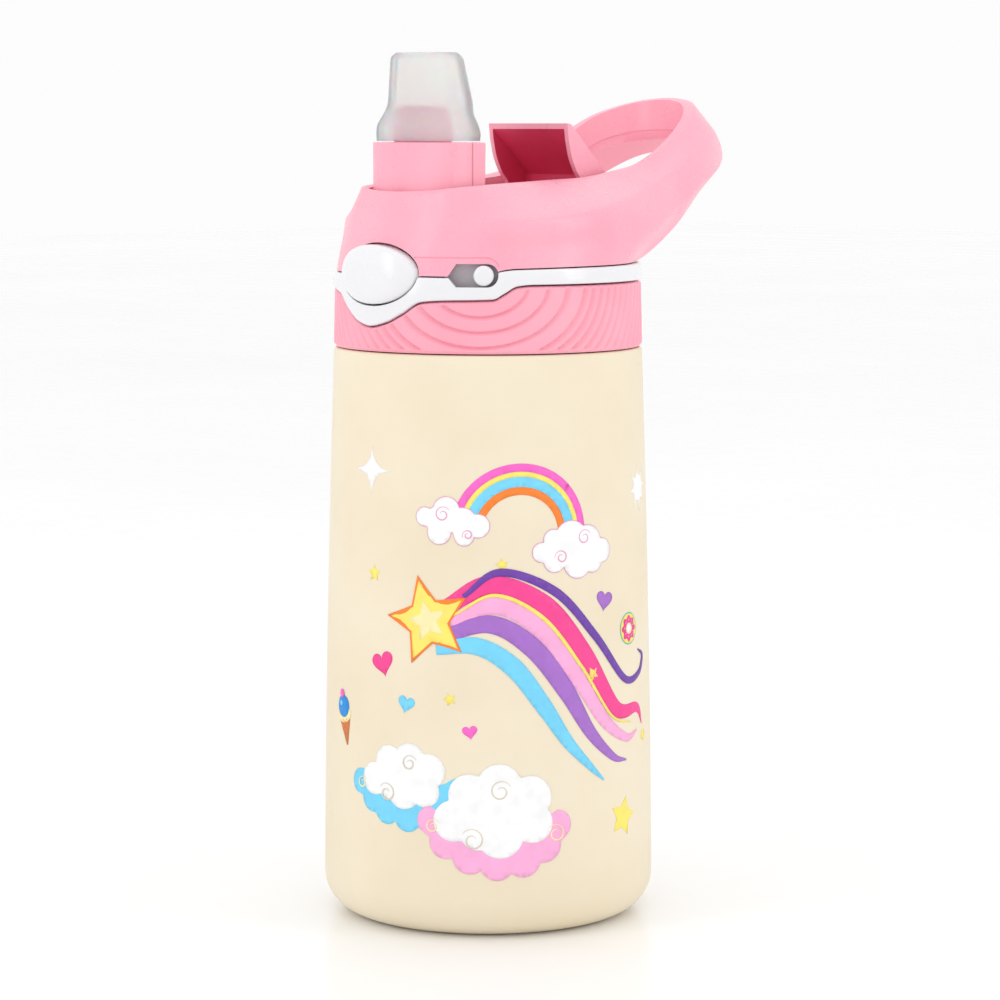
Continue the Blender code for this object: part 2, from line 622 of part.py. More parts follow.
# ---- shield -------------------------------------------------------------------------------------
# Side outlines with the spout up: y, and height above the joint, in mm. The first point is the tip.
SHIELD_REAR = [(12.2, 49.9), (13.4, 49.7), (24.3, 38.9), (24.6, 36.7), (23.6, 29.7)]
SHIELD_MOUTH = [(18.2, 28.1), (17.7, 32.7), (17.2, 36.5), (15.4, 38.7), (13.6, 42.3), (12.6, 46.3)]
SHIELD_HOLLOW = [(8.0, 52.7), (12.9, 48.1), (22.9, 38.3), (23.0, 36.3), (22.0, 30.3), (19.6, 28.7),
                 (17.9, 27.3), (8.0, 26.7)]


def on_lid(outline):
    return [(y * MM, shoulder_z + z * MM) for y, z in outline]


barrel = [(SHIELD_Y + SHIELD_BARREL * cos(a), SHIELD_Z + SHIELD_BARREL * sin(a))
          for a in np.linspace(0.35, -pi - 0.35, 13)]
shield_outline = on_lid(SHIELD_REAR) + barrel + on_lid(SHIELD_MOUTH)
shield = slab("spout_shield", shield_outline, -SHIELD_X, SHIELD_X, axis="X", surface=pink)
cut(shield, slab("shield_hollow", on_lid(SHIELD_HOLLOW), -SHIELD_X + SHIELD_WALL, SHIELD_X - SHIELD_WALL,
                 axis="X"))
for side, name in ((1, "shield_hole_right"), (-1, "shield_hole_left")):
    cut(shield, rod(name, PIN_R * 0.8 + FIT, (side * (SHIELD_X - PIN_IN - FIT), SHIELD_Y, SHIELD_Z),
                    (side * 20 * MM, SHIELD_Y, SHIELD_Z), sides=16))


def pin_pair(name, radius, half_width, y, z):
    """Two pins fixed in the housing's walls, each in a socket of its own."""
    for side, hand in ((1, "right"), (-1, "left")):
        start, end = half_width - PIN_IN, CHANNEL_X + PIN_SEAT
        rod(f"{name}_{hand}", radius, (side * start, y, z), (side * end, y, z), steel, sides=16)
        cut(housing, rod(f"{name}_socket_{hand}", radius + FIT, (side * (half_width - MM), y, z),
                         (side * (end + FIT), y, z), sides=16))


pin_pair("spout_pin", PIN_R, SPOUT_X, SPOUT_Y, SPOUT_Z)
pin_pair("shield_pin", PIN_R * 0.8, SHIELD_X, SHIELD_Y, SHIELD_Z)

# ---- tray under the channel, with the port seal and the springs ------------------------------------
tray_x = CHANNEL_X - TRAY_PLAY
tray_front = CHANNEL_FRONT - TRAY_PLAY
front_az = degrees(asin(TRAY_ARC * CHANNEL_X / tray_front))
tray_plan = [polar(tray_front, az, 0)[:2] for az in np.linspace(-front_az, front_az, 9)]
tray_plan += [(tray_x, TRAY_CORNER), (tray_x, BRIDGE_Y - TRAY_REAR), (-tray_x, BRIDGE_Y - TRAY_REAR),
              (-tray_x, TRAY_CORNER)]
tray = slab("channel_tray", tray_plan, tray_z - TRAY_T, tray_z, surface=pink)
tray_low, tray_high = tray_z - TRAY_T - MM, tray_z + MM
cut(tray, rod("tray_port", PORT_R + FIT, (0, straw_y, tray_low), (0, straw_y, tray_high)))
cut(tray, rod("tray_vent", VENT_R + 1.2 * MM, (0, VENT_Y, tray_low), (0, VENT_Y, tray_high), sides=16))

seal_top = SPOUT_Z - SPOUT_BACK - FIT
seal_low = tray_z - TRAY_T
turned("port_seal", [(FLOW_R, seal_low), (PORT_R, seal_low), (PORT_R, seal_top), (FLOW_R, seal_top)], silicone,
       steps=32, centre=(0, straw_y))

socket_top = tray_z - TRAY_T - FIT
turned("straw_socket", [(STRAW_R + 0.1 * MM + FIT, deck_z - 5 * MM), (socket_r, deck_z - 5 * MM),
                        (socket_r, socket_top), (FLOW_R, socket_top), (FLOW_R, deck_z + DECK_T),
                        (STRAW_R + 0.1 * MM + FIT, deck_z + DECK_T)], white, steps=32, centre=(0, straw_y))
turned("straw", [(STRAW_R - STRAW_WALL, STRAW_FOOT), (STRAW_R, STRAW_FOOT), (STRAW_R, deck_z + DECK_T - FIT),
                 (STRAW_R - STRAW_WALL, deck_z + DECK_T - FIT)], straw_plastic, steps=20, centre=(0, straw_y))
turned("air_vent_valve", [(0.6 * MM, deck_z - 1.0 * MM), (VENT_R, deck_z - 1.0 * MM),
                          (VENT_R, deck_z + DECK_T + 2 * MM), (0.6 * MM, deck_z + DECK_T + 2 * MM)],
       silicone, steps=20, centre=(0, VENT_Y))

turn_x = Matrix.Rotation(pi / 2, 4, "Y")
coil("shield_spring", COIL_R, WIRE_R, 5.0 * MM, 5, Matrix.Translation((0, SHIELD_Y, SHIELD_Z)) @ turn_x,
     spring_steel)
cut(shield, rod("shield_spring_room", COIL_R + COIL_ROOM + WIRE_R, (-3.4 * MM, SHIELD_Y, SHIELD_Z),
                (3.4 * MM, SHIELD_Y, SHIELD_Z)))
spring_x = SPOUT_X - 5.4 * MM
coil("spout_spring", COIL_R, WIRE_R, 3.4 * MM, 4, Matrix.Translation((spring_x, SPOUT_Y, SPOUT_Z)) @ turn_x,
     spring_steel)
cut(spout, rod("spout_spring_room", COIL_R + COIL_ROOM, (spring_x - 2.2 * MM, SPOUT_Y, SPOUT_Z),
               (spring_x + 2.2 * MM, SPOUT_Y, SPOUT_Z)))


# ---- release button, its latch and spring ----------------------------------------------------------
def oval(scale, offset, grow=0.0, count=28):
    """A ring of the button's outline on the lid's round wall, offset metres proud of it."""
    ring = []
    for k in range(count):
        t = 2 * pi * k / count
        x = scale * (BUTTON_A + grow) * cos(t)
        z = BUTTON_Z + scale * (BUTTON_B + grow) * sin(t)
        ring.append((x, -((COLLAR_R ** 2 - x * x) ** 0.5) - offset, z))
    return ring


button_in = 2.2 * MM  # from the lid's wall to the button's back
dome = [(0.3, -button_in), (1.0, -button_in), (1.0, 0.2 * MM), (0.97, 0.9 * MM), (0.88, 1.5 * MM),
        (0.7, 1.9 * MM), (0.45, 0.97 * BUTTON_PROUD), (0.2, BUTTON_PROUD)]
skin("release_button", [oval(scale, offset) for scale, offset in dome], white, ring_closed=False, sharp=60)
room = button_in + BUTTON_TRAVEL + 0.6 * MM
for thing in (collar, trim, housing, deck):
    rings = [oval(scale, offset, BUTTON_GAP) for scale, offset in ((0.3, -room), (1.0, -room), (1.0, 9 * MM))]
    cut(thing, skin(f"button_room_{thing.name}", rings, ring_closed=False))

latch_z, latch_t, latch_x = shelf_z + 1.3 * MM, 1.8 * MM, 3.0 * MM
latch_tip = -CHANNEL_FRONT + 0.2 * MM
block("button_latch", (-latch_x, -COLLAR_R + button_in + FIT + 0.2 * MM, latch_z),
      (latch_x, latch_tip, latch_z + latch_t), white)
cut(housing, block("latch_way", (-latch_x - FIT, -COLLAR_R + button_in, latch_z - FIT),
                   (latch_x + FIT, -CHANNEL_FRONT + 6 * MM, latch_z + latch_t + FIT)))
spring_z = (deck_z + DECK_T + tray_z - TRAY_T) / 2
spring_front = -COLLAR_R + button_in + BUTTON_TRAVEL + FIT
spring_l = 2.6 * MM
turn_y = Matrix.Rotation(pi / 2, 4, "X")
coil("button_spring", 1.5 * MM, 0.3 * MM, spring_l - 0.6 * MM, 3,
     Matrix.Translation((0, spring_front + spring_l / 2, spring_z)) @ turn_y, spring_steel)
join(deck, block("spring_seat", (-2.4 * MM, spring_front + spring_l + FIT, deck_z + 1 * MM),
                 (2.4 * MM, spring_front + spring_l + FIT + 1.2 * MM, tray_z - TRAY_T - FIT), white))


# ---- child lock --------------------------------------------------------------------------------------
slot_mid = (SLOT_FROM + SLOT_TO) / 2


def wall_slab(name, outline, near, far, surface=None):
    """An outline of (degrees, z) points at the slot, pushed straight outwards between two distances."""
    out = np.array(polar(1.0, slot_mid, 0.0))
    side = np.array(polar(1.0, slot_mid + 90, 0.0))
    rings = []
    for depth in (near, far):
        rings.append([tuple(out * depth + side * COLLAR_R * sin(radians(az - slot_mid)) + np.array((0, 0, z)))
                      for az, z in outline])
    return skin(name, rings, surface, ring_closed=False)


tip_az = SLOT_FROM + 3.2
slot = [(SLOT_FROM, LOCK_Z - 0.3 * MM), (tip_az, LOCK_Z - SLOT_H), (SLOT_TO - 2.4, LOCK_Z - SLOT_H),
        (SLOT_TO, LOCK_Z - 1 * MM), (SLOT_TO, LOCK_Z + 1 * MM), (SLOT_TO - 2.4, LOCK_Z + SLOT_H),
        (tip_az, LOCK_Z + SLOT_H)]
track_az, track_h = 1.4, SLOT_H + TRACK_MARGIN
track = [(SLOT_FROM - track_az, LOCK_Z - track_h), (SLOT_TO + track_az, LOCK_Z - track_h),
         (SLOT_TO + track_az, LOCK_Z + track_h), (SLOT_FROM - track_az, LOCK_Z + track_h)]
wall_slab("lock_track", track, LOCK_FLOOR - TRACK_T, LOCK_FLOOR, grey)
bigger = [(az + (0.8 if az > slot_mid else -0.8), z + (FIT if z > LOCK_Z else -FIT)) for az, z in track]
cut(housing, wall_slab("track_room", bigger, LOCK_FLOOR - TRACK_T - 1.5 * MM, LOCK_FLOOR + FIT))
for thing in (trim, housing):
    cut(thing, wall_slab(f"slot_{thing.name}", slot, LOCK_FLOOR - 0.2 * MM, COLLAR_R + 5 * MM))
rod("lock_slider", LOCK_R, polar(LOCK_FLOOR + FIT, LOCK_AZ, LOCK_Z),
    polar(COLLAR_R + TRIM_PROUD, LOCK_AZ, LOCK_Z), white)
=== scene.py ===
"""Looks of the kids' insulated water bottle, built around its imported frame.

Lengths are in metres. az is degrees round the bottle from the front (-Y) towards +X.
"""

from math import atan2, cos, degrees, pi, radians, sin

import bmesh
import bpy
import numpy as np
from mathutils import Matrix, Vector
from mathutils.bvhtree import BVHTree
from mathutils.geometry import delaunay_2d_cdt


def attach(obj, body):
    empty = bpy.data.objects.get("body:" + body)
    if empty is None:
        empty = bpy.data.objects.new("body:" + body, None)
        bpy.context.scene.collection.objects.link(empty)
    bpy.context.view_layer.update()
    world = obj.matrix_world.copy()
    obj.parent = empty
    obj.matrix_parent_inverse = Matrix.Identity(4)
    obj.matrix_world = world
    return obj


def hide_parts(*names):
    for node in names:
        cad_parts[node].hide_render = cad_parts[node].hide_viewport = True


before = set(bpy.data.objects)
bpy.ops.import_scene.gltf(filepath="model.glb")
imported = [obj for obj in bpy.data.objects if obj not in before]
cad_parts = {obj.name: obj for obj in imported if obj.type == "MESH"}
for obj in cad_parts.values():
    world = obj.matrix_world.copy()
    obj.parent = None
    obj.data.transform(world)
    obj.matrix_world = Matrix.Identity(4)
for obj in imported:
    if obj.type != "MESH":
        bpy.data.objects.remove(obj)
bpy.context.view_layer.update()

MM = 0.001

# ---- sizes of the frame that the looks repeat
BODY_R, BODY_TOP_R, BODY_H = 37.5 * MM, 34.8 * MM, 128.3 * MM
FOOT_R, BASE_R, SHELL_WALL, NECK_R = 9.0 * MM, 25.0 * MM, 0.9 * MM, 29.4 * MM
FIT = 0.3 * MM
LID_R, COLLAR_R, COLLAR_IN = 34.0 * MM, 34.6 * MM, 31.0 * MM
TRIM_WALL = 2.0 * MM
SHELF_Z = 147.7 * MM
BRIDGE_X, BRIDGE_Y, BRIDGE_T, BRIDGE_TOP = 17.0 * MM, 25.2 * MM, 2.4 * MM, 164.5 * MM
SHELF_T = 2.2 * MM
CHANNEL_FRONT = 27.2 * MM
SPOUT_Y, SPOUT_Z, SPOUT_R, SPOUT_X = -19.6 * MM, 158.0 * MM, 6.8 * MM, 13.0 * MM
SPOUT_TOP, SPOUT_FRONT, SPOUT_BACK, BACK_T = 174.0 * MM, 26.6 * MM, 7.1 * MM, 4.0 * MM
SHIELD_Y, SHIELD_Z, SHIELD_X, SHIELD_WALL = 20.4 * MM, 153.2 * MM, 13.0 * MM, 1.3 * MM
SHIELD_BARREL = 2.8 * MM
BUTTON_A, BUTTON_B, BUTTON_Z = 11.8 * MM, 6.5 * MM, 145.4 * MM
BUTTON_PROUD, BUTTON_IN, BUTTON_GAP, BUTTON_TRAVEL = 2.2 * MM, 2.2 * MM, 0.4 * MM, 2.0 * MM
LOCK_AZ, LOCK_Z, LOCK_R, LOCK_FLOOR = 45.6, 145.5 * MM, 2.2 * MM, 31.0 * MM
SLOT_FROM, SLOT_TO, SLOT_H = 32.4, 50.9, 2.5 * MM
INSET = 0.12 * MM  # the body's skin sits this far in, so that the print stays inside the frame's box

BAND_LOW = [(-180, 143.4), (-62, 143.2), (-40, 141.9), (-24, 140.6), (-16, 137.4), (-8, 134.8),
            (-2, 134.1), (6, 135.0), (14, 137.1), (22, 139.7), (30, 140.1), (49, 140.4), (53, 141.6),
            (58, 143.2), (64, 143.5), (180, 143.4)]
BAND_HIGH = [(-180, 147.4), (-90, 146.4), (-43, 145.3), (47, 145.0), (52, 146.3), (58, 146.7),
             (110, 147.1), (180, 147.4)]
CHANNEL_EDGE = [(0, -27.2), (9.3, -25.6), (13.9, -22.6), (14.2, -12), (14.2, 2), (14.2, 13), (15.0, 22),
                (16.6, 30), (17.0, 38.5), (14.6, 47.2), (8.4, 53.3), (0, 55.5)]
CREST = [(0, -28.1, 163.7), (9.7, -26.6, 164.0), (15.6, -23.2, 164.7), (17.0, -12, 165.4),
         (17.0, 2, 166.0), (17.0, 13, 166.4), (17.9, 22, 167.7), (19.0, 30, 169.7), (19.2, 38.8, 174.4),
         (16.6, 48.4, 180.2), (9.6, 55.4, 183.4), (0, 57.9, 184.4)]
RIDGE = [(0, -31.2, 156.4), (11.0, -29.2, 156.6), (19.8, -24.6, 156.9), (28.8, -15.8, 157.3),
         (32.9, 0.0, 158.8), (31.0, 13.5, 161.4), (27.6, 24.5, 164.2), (25.4, 33, 167.0),
         (24.2, 41.0, 170.4), (19.6, 52.4, 174.4), (11.4, 60.8, 176.9), (0, 63.8, 177.8)]
BELLY = [(0, -33.0, 150.5), (11.6, -30.9, 150.6), (20.6, -25.8, 150.8), (30.2, -13.6, 151.2),
         (33.4, 2.0, 152.0), (31.4, 15.5, 153.6), (28.6, 26.0, 156.0), (26.2, 34.5, 160.0),
         (24.4, 43.0, 164.2), (19.8, 54.6, 168.4), (11.8, 62.8, 172.8), (0, 65.8, 174.2)]
FOOT = [(0, -34.0, 0), (12.0, -31.8, 0), (21.4, -26.4, 0), (30.8, -14.4, 0), (34.0, 0.0, 0),
        (31.9, 11.8, 0), (26.0, 21.9, 0.3), (24.0, 31.5, 4.4), (22.4, 40.5, 10.2), (17.8, 51.0, 17.4),
        (10.4, 58.4, 22.8), (0, 61.4, 24.2)]
CHANNEL_FOOT = [0, 0, 0, 0, 0, 0, 0.6, 7.0, 15.6, 23.0, 26.0, 26.6]
MOUTH = [(12.9, 7.5, -18.0, 0.3), (13.0, 7.6, -18.0, 2.0), (12.6, 7.2, -18.2, 4.0),
         (11.3, 6.5, -17.9, 6.2), (10.6, 6.2, -17.4, 8.6), (9.8, 5.9, -17.8, 13.0),
         (9.1, 5.6, -18.2, 17.0), (8.7, 5.3, -18.4, 18.6), (7.6, 4.5, -18.5, 19.6)]


# ---- mesh helpers
def polar(r, az, z):
    return (r * sin(radians(az)), -r * cos(radians(az)), z)


def wrap(az):
    return (az + 180) % 360 - 180


def along(points, x):
    """A smooth edge through (x, value) points that never swings past them."""
    xs, vs = np.array(points, float).T
    steps = np.diff(vs) / np.diff(xs)
    slopes = np.zeros(len(xs))
    for k in range(1, len(xs) - 1):
        a, b = steps[k - 1], steps[k]
        slopes[k] = 2 * a * b / (a + b) if a * b > 0 else 0.0
    k = int(np.clip(np.searchsorted(xs, x) - 1, 0, len(steps) - 1))
    h = xs[k + 1] - xs[k]
    t = (x - xs[k]) / h
    return (vs[k] * (1 + 2 * t) * (1 - t) ** 2 + vs[k + 1] * t * t * (3 - 2 * t)
            + h * t * (1 - t) * (slopes[k] * (1 - t) - slopes[k + 1] * t))


def band_low(az):
    return along(BAND_LOW, wrap(az)) * MM


def band_high(az):
    return along(BAND_HIGH, wrap(az)) * MM


def add(name, mesh, sharp=40):
    thing = bpy.data.objects.new(name, mesh)
    bpy.context.scene.collection.objects.link(thing)
    mesh.shade_smooth()
    mesh.set_sharp_from_angle(angle=radians(sharp))
    return thing


def skin(name, rings, closed=True, sharp=40):
    """A skin over equal rings: the last joined to the first, or both ends capped."""
    work = bmesh.new()
    rows = [[work.verts.new(p) for p in ring] for ring in rings]
    count = len(rows[0])
    pairs = list(zip(rows, rows[1:]))
    if closed:
        pairs.append((rows[-1], rows[0]))
    else:
        work.faces.new(rows[0])
        work.faces.new(rows[-1])
    for low, high in pairs:
        for i in range(count):
            j = (i + 1) % count
            work.faces.new((low[i], low[j], high[j], high[i]))
    bmesh.ops.recalc_face_normals(work, faces=work.faces)
    mesh = bpy.data.meshes.new(name)
    work.to_mesh(mesh)
    work.free()
    return add(name, mesh, sharp)


def turned(name, profile, steps=192, centre=(0.0, 0.0), sharp=40):
    x0, y0 = centre
    rings = [[(x0 + r * sin(2 * pi * k / steps), y0 - r * cos(2 * pi * k / steps), z) for r, z in profile]
             for k in range(steps)]
    return skin(name, rings, sharp=sharp)


def slab(name, outline, low, high, axis="Z"):
    if axis == "Z":
        rings = [[(x, y, level) for x, y in outline] for level in (low, high)]
    else:
        rings = [[(level, y, z) for y, z in outline] for level in (low, high)]
    return skin(name, rings, closed=False)


def block(name, low, high):
    return slab(name, [(low[0], low[1]), (high[0], low[1]), (high[0], high[1]), (low[0], high[1])],
                low[2], high[2])


def rod(name, radius, start, end, sides=48):
    work = bmesh.new()
    bmesh.ops.create_cone(work, cap_ends=True, segments=sides, radius1=radius, radius2=radius, depth=1.0)
    a, b = Vector(start), Vector(end)
    aim = (b - a).to_track_quat("Z", "Y").to_matrix().to_4x4()
    work.transform(Matrix.Translation((a + b) / 2) @ aim @ Matrix.Diagonal((1, 1, (b - a).length, 1)))
    mesh = bpy.data.meshes.new(name)
    work.to_mesh(mesh)
    work.free()
    return add(name, mesh)


def settle(thing, sharp=40):
    """Applies the modifiers so that the mesh is final."""
    graph = bpy.context.evaluated_depsgraph_get()
    mesh = bpy.data.meshes.new_from_object(thing.evaluated_get(graph))
    thing.modifiers.clear()
    thing.data = mesh
    mesh.shade_smooth()
    mesh.set_sharp_from_angle(angle=radians(sharp))


def combine(thing, how, *others, sharp=40, crossing=False):
    """Boolean with EXACT; crossing tells it that the skins run through themselves."""
    for other in others:
        step = thing.modifiers.new(other.name, "BOOLEAN")
        step.use_self = crossing
        step.operation = how
        step.solver = "EXACT"
        step.object = other
        bpy.context.view_layer.update()
        settle(thing, sharp)
        bpy.data.objects.remove(other, do_unlink=True)


def bevel(thing, width, segments=3, angle=40):
    step = thing.modifiers.new("edges", "BEVEL")
    step.width = width
    step.segments = segments
    step.limit_method = "ANGLE"
    step.angle_limit = radians(angle)
    step.harden_normals = True


def spline(points, per_span, mirror=True):
    """Catmull-Rom through rows of numbers; with mirror, both ends lie on the plane x = 0."""
    p = np.array(points, float)
    flip = np.ones(p.shape[1])
    flip[0] = -1
    first = p[1] * flip if mirror else 2 * p[0] - p[1]
    last = p[-2] * flip if mirror else 2 * p[-1] - p[-2]
    p = np.vstack([first, p, last])
    made = []
    for k in range(1, len(p) - 2):
        for t in np.linspace(0, 1, per_span, endpoint=False):
            made.append(0.5 * (2 * p[k] + (p[k + 1] - p[k - 1]) * t
                               + (2 * p[k - 1] - 5 * p[k] + 4 * p[k + 1] - p[k + 2]) * t ** 2
                               + (3 * p[k] - p[k - 1] - 3 * p[k + 1] + p[k + 2]) * t ** 3))
    made.append(p[-2])
    return np.array(made)


def mirrored(half):
    """A closed loop from its +X half."""
    half = np.array(half)
    other = half[-2:0:-1].copy()
    other[:, 0] *= -1
    return np.vstack([half, other])


def rounded(a, b, y, z, power=3.0, count=96):
    ring = []
    for k in range(count):
        c, s = cos(2 * pi * k / count), sin(2 * pi * k / count)
        ring.append((a * np.sign(c) * abs(c) ** (2 / power), y + b * np.sign(s) * abs(s) ** (2 / power), z))
    return ring


# ---- materials
def colour(rgb):
    """Linear colour of a value that the eye reads as rgb, 0 to 255."""
    return (*[(((c / 255) + 0.055) / 1.055) ** 2.4 for c in rgb], 1.0)


class Finish:
    """A Principled material in object space, with small helpers for its nodes."""

    def __init__(self, name):
        self.material = bpy.data.materials.new(name)
        self.material.use_nodes = True
        self.nodes = self.material.node_tree.nodes
        self.links = self.material.node_tree.links
        self.shader = self.nodes["Principled BSDF"]
        self.place = self.nodes.new("ShaderNodeTexCoord").outputs["Object"]

    def noise(self, scale, detail=2.0, stretch=None):
        node = self.nodes.new("ShaderNodeTexNoise")
        node.inputs["Scale"].default_value = scale
        node.inputs["Detail"].default_value = detail
        source = self.place
        if stretch:
            mapping = self.nodes.new("ShaderNodeMapping")
            mapping.inputs["Scale"].default_value = stretch
            self.links.new(source, mapping.inputs["Vector"])
            source = mapping.outputs["Vector"]
        self.links.new(source, node.inputs["Vector"])
        return node.outputs["Fac"]

    def ramp(self, fac, low, high, start=0.35, end=0.65):
        node = self.nodes.new("ShaderNodeMapRange")
        node.inputs["From Min"].default_value = start
        node.inputs["From Max"].default_value = end
        node.inputs["To Min"].default_value = low
        node.inputs["To Max"].default_value = high
        self.links.new(fac, node.inputs["Value"])
        return node.outputs["Result"]

    def blend(self, fac, first, second):
        node = self.nodes.new("ShaderNodeMix")
        node.data_type = "RGBA"
        node.inputs["A"].default_value = colour(first)
        node.inputs["B"].default_value = colour(second)
        self.links.new(fac, node.inputs["Factor"])
        return node.outputs["Result"]

    def bump(self, height, distance, strength=1.0):
        node = self.nodes.new("ShaderNodeBump")
        node.inputs["Strength"].default_value = strength
        node.inputs["Distance"].default_value = distance
        self.links.new(height, node.inputs["Height"])
        self.links.new(node.outputs["Normal"], self.shader.inputs["Normal"])

    def wire(self, output, socket):
        self.links.new(output, self.shader.inputs[socket])

    def set(self, **values):
        for name, value in values.items():
            self.shader.inputs[name.replace("_", " ")].default_value = value


def moulded(name, rgb, deep, rough, glow=0.0, grain=0.00003, coat=0.0):
    """Moulded plastic: faint flow marks in colour and gloss, and a spark-eroded grain."""
    made = Finish(name)
    made.wire(made.blend(made.ramp(made.noise(55.0, 3.0), 0.0, 1.0), rgb, deep), "Base Color")
    made.wire(made.ramp(made.noise(260.0, 3.0), rough - 0.05, rough + 0.06), "Roughness")
    made.bump(made.noise(2600.0, 3.0), grain, 0.35)
    made.set(Subsurface_Weight=glow, Subsurface_Scale=0.003, Coat_Weight=coat, Coat_Roughness=0.2)
    made.shader.inputs["Subsurface Radius"].default_value = (1.0, 0.35, 0.35)
    return made.material


def brushed(name, rgb, rough, stretch):
    """Metal with fine lines along one direction and a few soft smudges."""
    made = Finish(name)
    lines = made.noise(900.0, 4.0, stretch)
    darker = [c * 0.93 for c in rgb]
    made.wire(made.blend(made.ramp(made.noise(90.0, 3.0), 0.0, 1.0), rgb, darker), "Base Color")
    made.wire(made.ramp(lines, rough - 0.08, rough + 0.1), "Roughness")
    made.bump(lines, 0.00002, 0.4)
    made.set(Metallic=1.0)
    return made.material


powder = Finish("cream_powder_coat_look")
powder.wire(powder.blend(powder.ramp(powder.noise(38.0, 4.0), 0.0, 1.0), (240, 228, 203), (236, 222, 194)),
            "Base Color")
powder.wire(powder.ramp(powder.noise(700.0, 3.0), 0.44, 0.58), "Roughness")
powder.bump(powder.noise(1500.0, 4.0), 0.00003, 0.3)
powder.set(Coat_Weight=0.12, Coat_Roughness=0.45)

pink = moulded("shell_pink_look", (252, 176, 193), (249, 168, 187), 0.3, glow=0.08)
collar_pink = moulded("collar_pink_look", (251, 172, 189), (248, 164, 182), 0.4, glow=0.0, grain=0.00004)
# Deeper, redder pink for the shield's inner faces: painted shade standing in for the shade and reddened light
# inside the scoop.
shield_painted_shade_pink = moulded("shield_inside_painted_shade_look", (222, 72, 110), (214, 62, 100), 0.38)
white = moulded("white_plastic_look", (236, 236, 238), (233, 233, 236), 0.22, coat=0.3, grain=0.00001)
grey = moulded("grey_plastic_look", (196, 195, 199), (188, 187, 192), 0.5, grain=0.00006)
rubber = moulded("white_silicone_look", (232, 232, 229), (226, 226, 222), 0.6, glow=0.1)
tube = Finish("straw_look")
tube.wire(tube.blend(tube.ramp(tube.noise(120.0), 0.0, 1.0), (240, 243, 245), (228, 233, 236)), "Base Color")
tube.wire(tube.ramp(tube.noise(300.0), 0.15, 0.3), "Roughness")
tube.set(Transmission_Weight=0.6, IOR=1.49)
steel = brushed("stainless_look", (205, 205, 207), 0.3, (1.0, 1.0, 0.04))
spring_wire = brushed("spring_wire_look", (170, 170, 175), 0.35, (1.0, 1.0, 0.3))

frosted = Finish("frosted_silicone_look")
cloudy = frosted.ramp(frosted.noise(70.0, 3.0), 0.0, 1.0)
frosted.wire(frosted.blend(cloudy, (254, 252, 252), (252, 248, 249)), "Base Color")
frosted.wire(frosted.ramp(frosted.noise(400.0, 3.0), 0.3, 0.42), "Roughness")
frosted.bump(frosted.noise(2200.0, 3.0), 0.00003, 0.4)
frosted.set(Transmission_Weight=0.72, IOR=1.2, Subsurface_Weight=1.0, Subsurface_Scale=0.01)


def ink(name, rgb):
    """Transfer print: nearly flat colour with the coat's own fine texture under it."""
    made = Finish(f"ink_{name}")
    darker = [c * 0.965 for c in rgb]
    made.wire(made.blend(made.ramp(made.noise(300.0, 3.0), 0.0, 1.0), rgb, darker), "Base Color")
    made.wire(made.ramp(made.noise(700.0, 3.0), 0.4, 0.52), "Roughness")
    made.bump(made.noise(1500.0, 4.0), 0.00002, 0.3)
    return made.material


INKS = {"white": (253, 253, 253), "magenta": (250, 66, 150), "rose": (255, 105, 205),
        "blush": (255, 178, 222), "violet": (170, 112, 205), "plum": (112, 62, 170),
        "sky": (120, 216, 252), "lemon": (255, 236, 110), "orange": (255, 134, 40),
        "swirl": (226, 216, 196), "line": (240, 170, 205), "cone": (205, 120, 60),
        "cream": (255, 240, 180), "blue": (20, 140, 225), "teal": (60, 200, 190)}
inks = {name: ink(name, rgb) for name, rgb in INKS.items()}


def dress(thing, surface, body, node=None):
    """Material, body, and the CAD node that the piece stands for."""
    thing.data.materials.clear()
    thing.data.materials.append(surface)
    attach(thing, body)
    if node:
        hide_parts(node)
    return thing


# ---- bottle body
def body_radius(z):
    return BODY_R + (BODY_TOP_R - BODY_R) * (z / BODY_H) ** 1.6


def wall_points(inset, low, high, steps=40):
    return [(body_radius(z) - inset, z) for z in np.linspace(low, high, steps)]


def foot_arc(inset, outer_inset, steps=16):
    centre = body_radius(FOOT_R) - FOOT_R
    r = FOOT_R - inset
    return [(centre + (r - outer_inset) * sin(a), FOOT_R - r * cos(a))
            for a in np.linspace(0, pi / 2, steps, endpoint=False)]


rim_round = 0.8 * MM
rim_r = BODY_TOP_R - INSET - rim_round
rim_arc = [(rim_r + rim_round * cos(a), BODY_H - rim_round + rim_round * sin(a))
           for a in np.linspace(0.15, pi / 2, 6)]
shell_out = [(BASE_R, 0.0), (BASE_R + 2 * MM, 0.0), *foot_arc(0.0, INSET),
             *wall_points(INSET, FOOT_R, BODY_H - rim_round), *rim_arc, (NECK_R + FIT, BODY_H)]
shell_in = [(NECK_R + FIT, BODY_H - SHELL_WALL),
            *reversed(wall_points(SHELL_WALL, FOOT_R, BODY_H - 1.6 * MM, 12)),
            *reversed(foot_arc(SHELL_WALL, 0.0)), (BASE_R, SHELL_WALL)]
bottle = turned("bottle_shell", shell_out + shell_in)
dress(bottle, powder.material, "bottle", "outer_shell")

# ---- collar with its swept grip lines
GRIP_AZ, GRIP_Z = 44.0, 144.2 * MM  # where the lines' ellipses are centred, under the lock
GRIP_STRETCH = 1.42
GRIP_FIRST, GRIP_STEP, GRIP_FAR, GRIP_FAR_STEP = 7.6 * MM, 3.3 * MM, 17.5 * MM, 1.75 * MM
GRIP_DEPTH, GRIP_WIDTH = 0.7 * MM, 0.24 * MM
REBATE_Z = 140.9 * MM  # the step on which the trim band sits
collar_low = BODY_H + FIT
collar_top_r = COLLAR_R - 0.2 * MM
collar_low_r = BODY_TOP_R - 0.1 * MM


